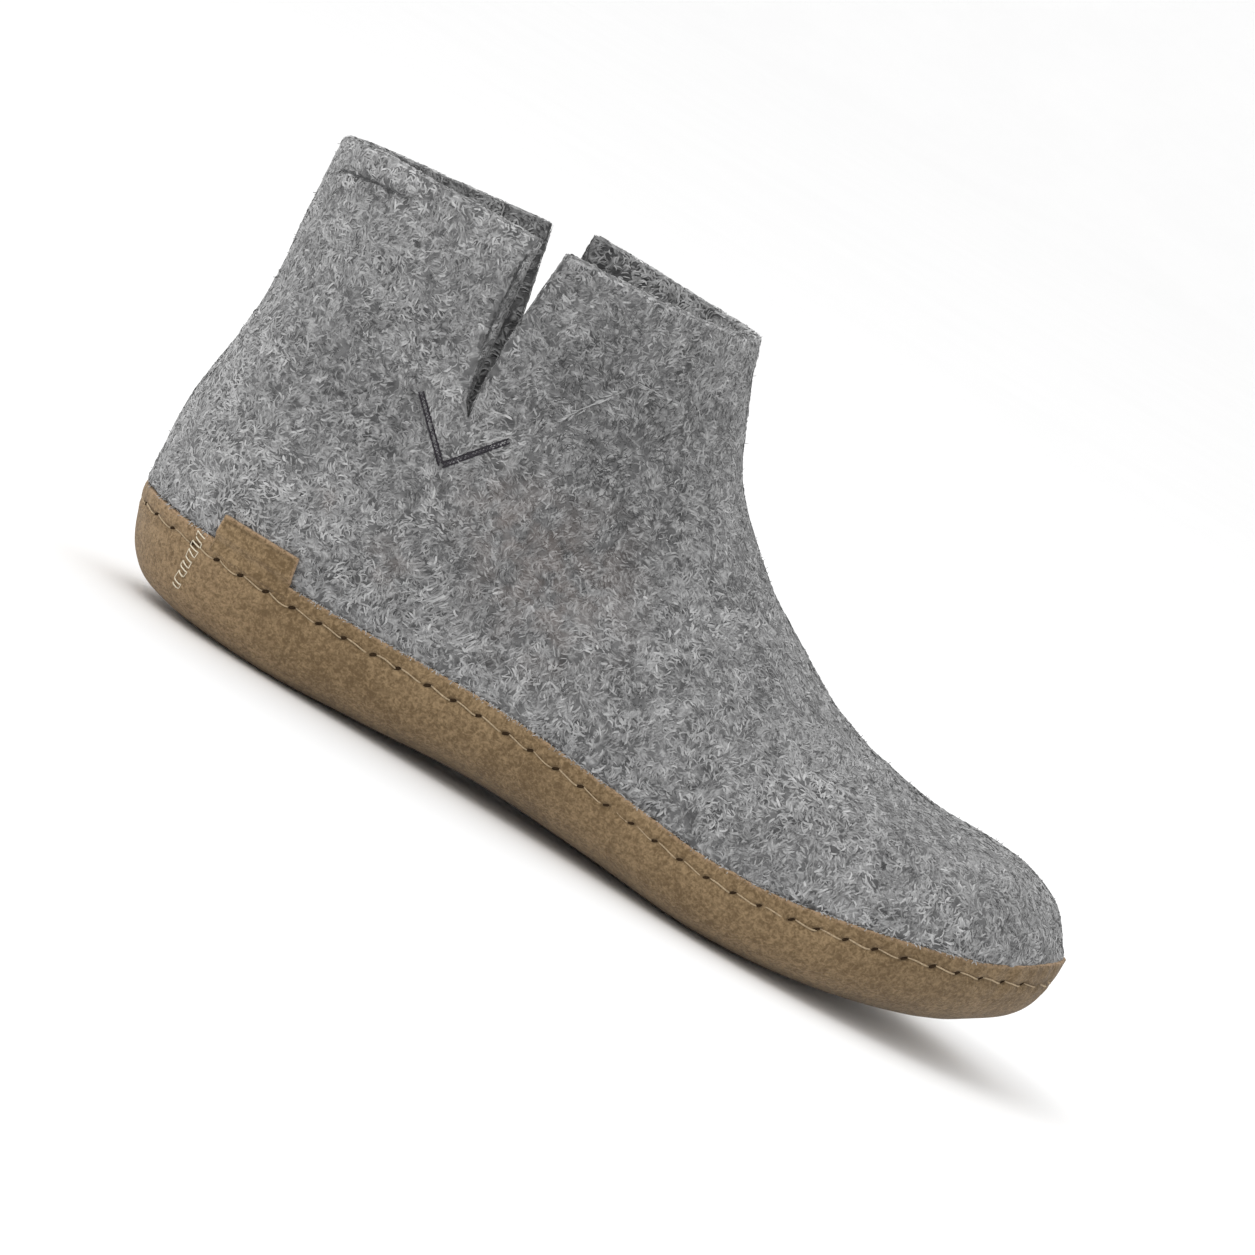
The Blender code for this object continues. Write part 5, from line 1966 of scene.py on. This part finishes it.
class FELTBOOT_OT_wool(bpy.types.Operator):
    """Make the wool strands and the fuzz on the felt"""
    bl_idname = "felt_boot.wool"
    bl_label = "Wool strands"

    def execute(self, context):
        sizes, colours = boot_values(context)
        material = strand_material(colours)
        for make in (make_strands, make_inner_wool, make_wool_lines, make_fuzz):
            make(sizes, material)
        return {"FINISHED"}


class FELTBOOT_OT_sole(bpy.types.Operator):
    """Make the suede cup sole"""
    bl_idname = "felt_boot.sole"
    bl_label = "Suede sole"

    def execute(self, context):
        make_sole(*boot_values(context))
        return {"FINISHED"}


class FELTBOOT_OT_sewing(bpy.types.Operator):
    """Make the stitches of the rim, the heel and the slits"""
    bl_idname = "felt_boot.sewing"
    bl_label = "Sewing"

    def execute(self, context):
        for make in (make_rim_stitches, make_heel_stitches, make_chevrons):
            make(*boot_values(context))
        return {"FINISHED"}


class FELTBOOT_OT_tab(bpy.types.Operator):
    """Make the leather tab"""
    bl_idname = "felt_boot.tab"
    bl_label = "Leather tab"

    def execute(self, context):
        make_tab(*boot_values(context))
        return {"FINISHED"}


class FELTBOOT_OT_insole(bpy.types.Operator):
    """Make the felt insole"""
    bl_idname = "felt_boot.insole"
    bl_label = "Felt insole"

    def execute(self, context):
        make_insole(context.scene.felt_boot_colours)
        return {"FINISHED"}


class FELTBOOT_OT_stage(bpy.types.Operator):
    """Make the floor, the lights and the camera"""
    bl_idname = "felt_boot.stage"
    bl_label = "Stage"

    def execute(self, context):
        make_stage(*boot_values(context))
        return {"FINISHED"}


OPERATORS = (FELTBOOT_OT_upper, FELTBOOT_OT_wool, FELTBOOT_OT_sole, FELTBOOT_OT_sewing, FELTBOOT_OT_tab,
             FELTBOOT_OT_insole, FELTBOOT_OT_stage)


class FELTBOOT_PT_panel(bpy.types.Panel):
    """Buttons and values of the felt boot"""
    bl_idname = "FELTBOOT_PT_panel"
    bl_label = "Felt boot"
    bl_space_type = "VIEW_3D"
    bl_region_type = "UI"
    bl_category = "Felt boot"

    def draw(self, context):
        for operator in OPERATORS:
            self.layout.operator(operator.bl_idname)
        for group in boot_values(context):
            for name in group.bl_rna.properties.keys():
                if name not in ("rna_type", "name"):
                    self.layout.prop(group, name)


CLASSES = (FeltBootSizes, FeltBootColours) + OPERATORS + (FELTBOOT_PT_panel,)


def register():
    """Add the classes and the scene's values."""
    for item in CLASSES:
        bpy.utils.register_class(item)
    bpy.types.Scene.felt_boot_sizes = PointerProperty(type=FeltBootSizes)
    bpy.types.Scene.felt_boot_colours = PointerProperty(type=FeltBootColours)


def unregister():
    """Take the classes and the scene's values away."""
    del bpy.types.Scene.felt_boot_colours
    del bpy.types.Scene.felt_boot_sizes
    for item in reversed(CLASSES):
        bpy.utils.unregister_class(item)


def main():
    """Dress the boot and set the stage."""
    register()
    bpy.ops.felt_boot.stage()
    bpy.ops.felt_boot.upper()
    bpy.ops.felt_boot.wool()
    bpy.ops.felt_boot.sole()
    bpy.ops.felt_boot.sewing()
    bpy.ops.felt_boot.tab()
    bpy.ops.felt_boot.insole()


if __name__ == "__main__":
    main()
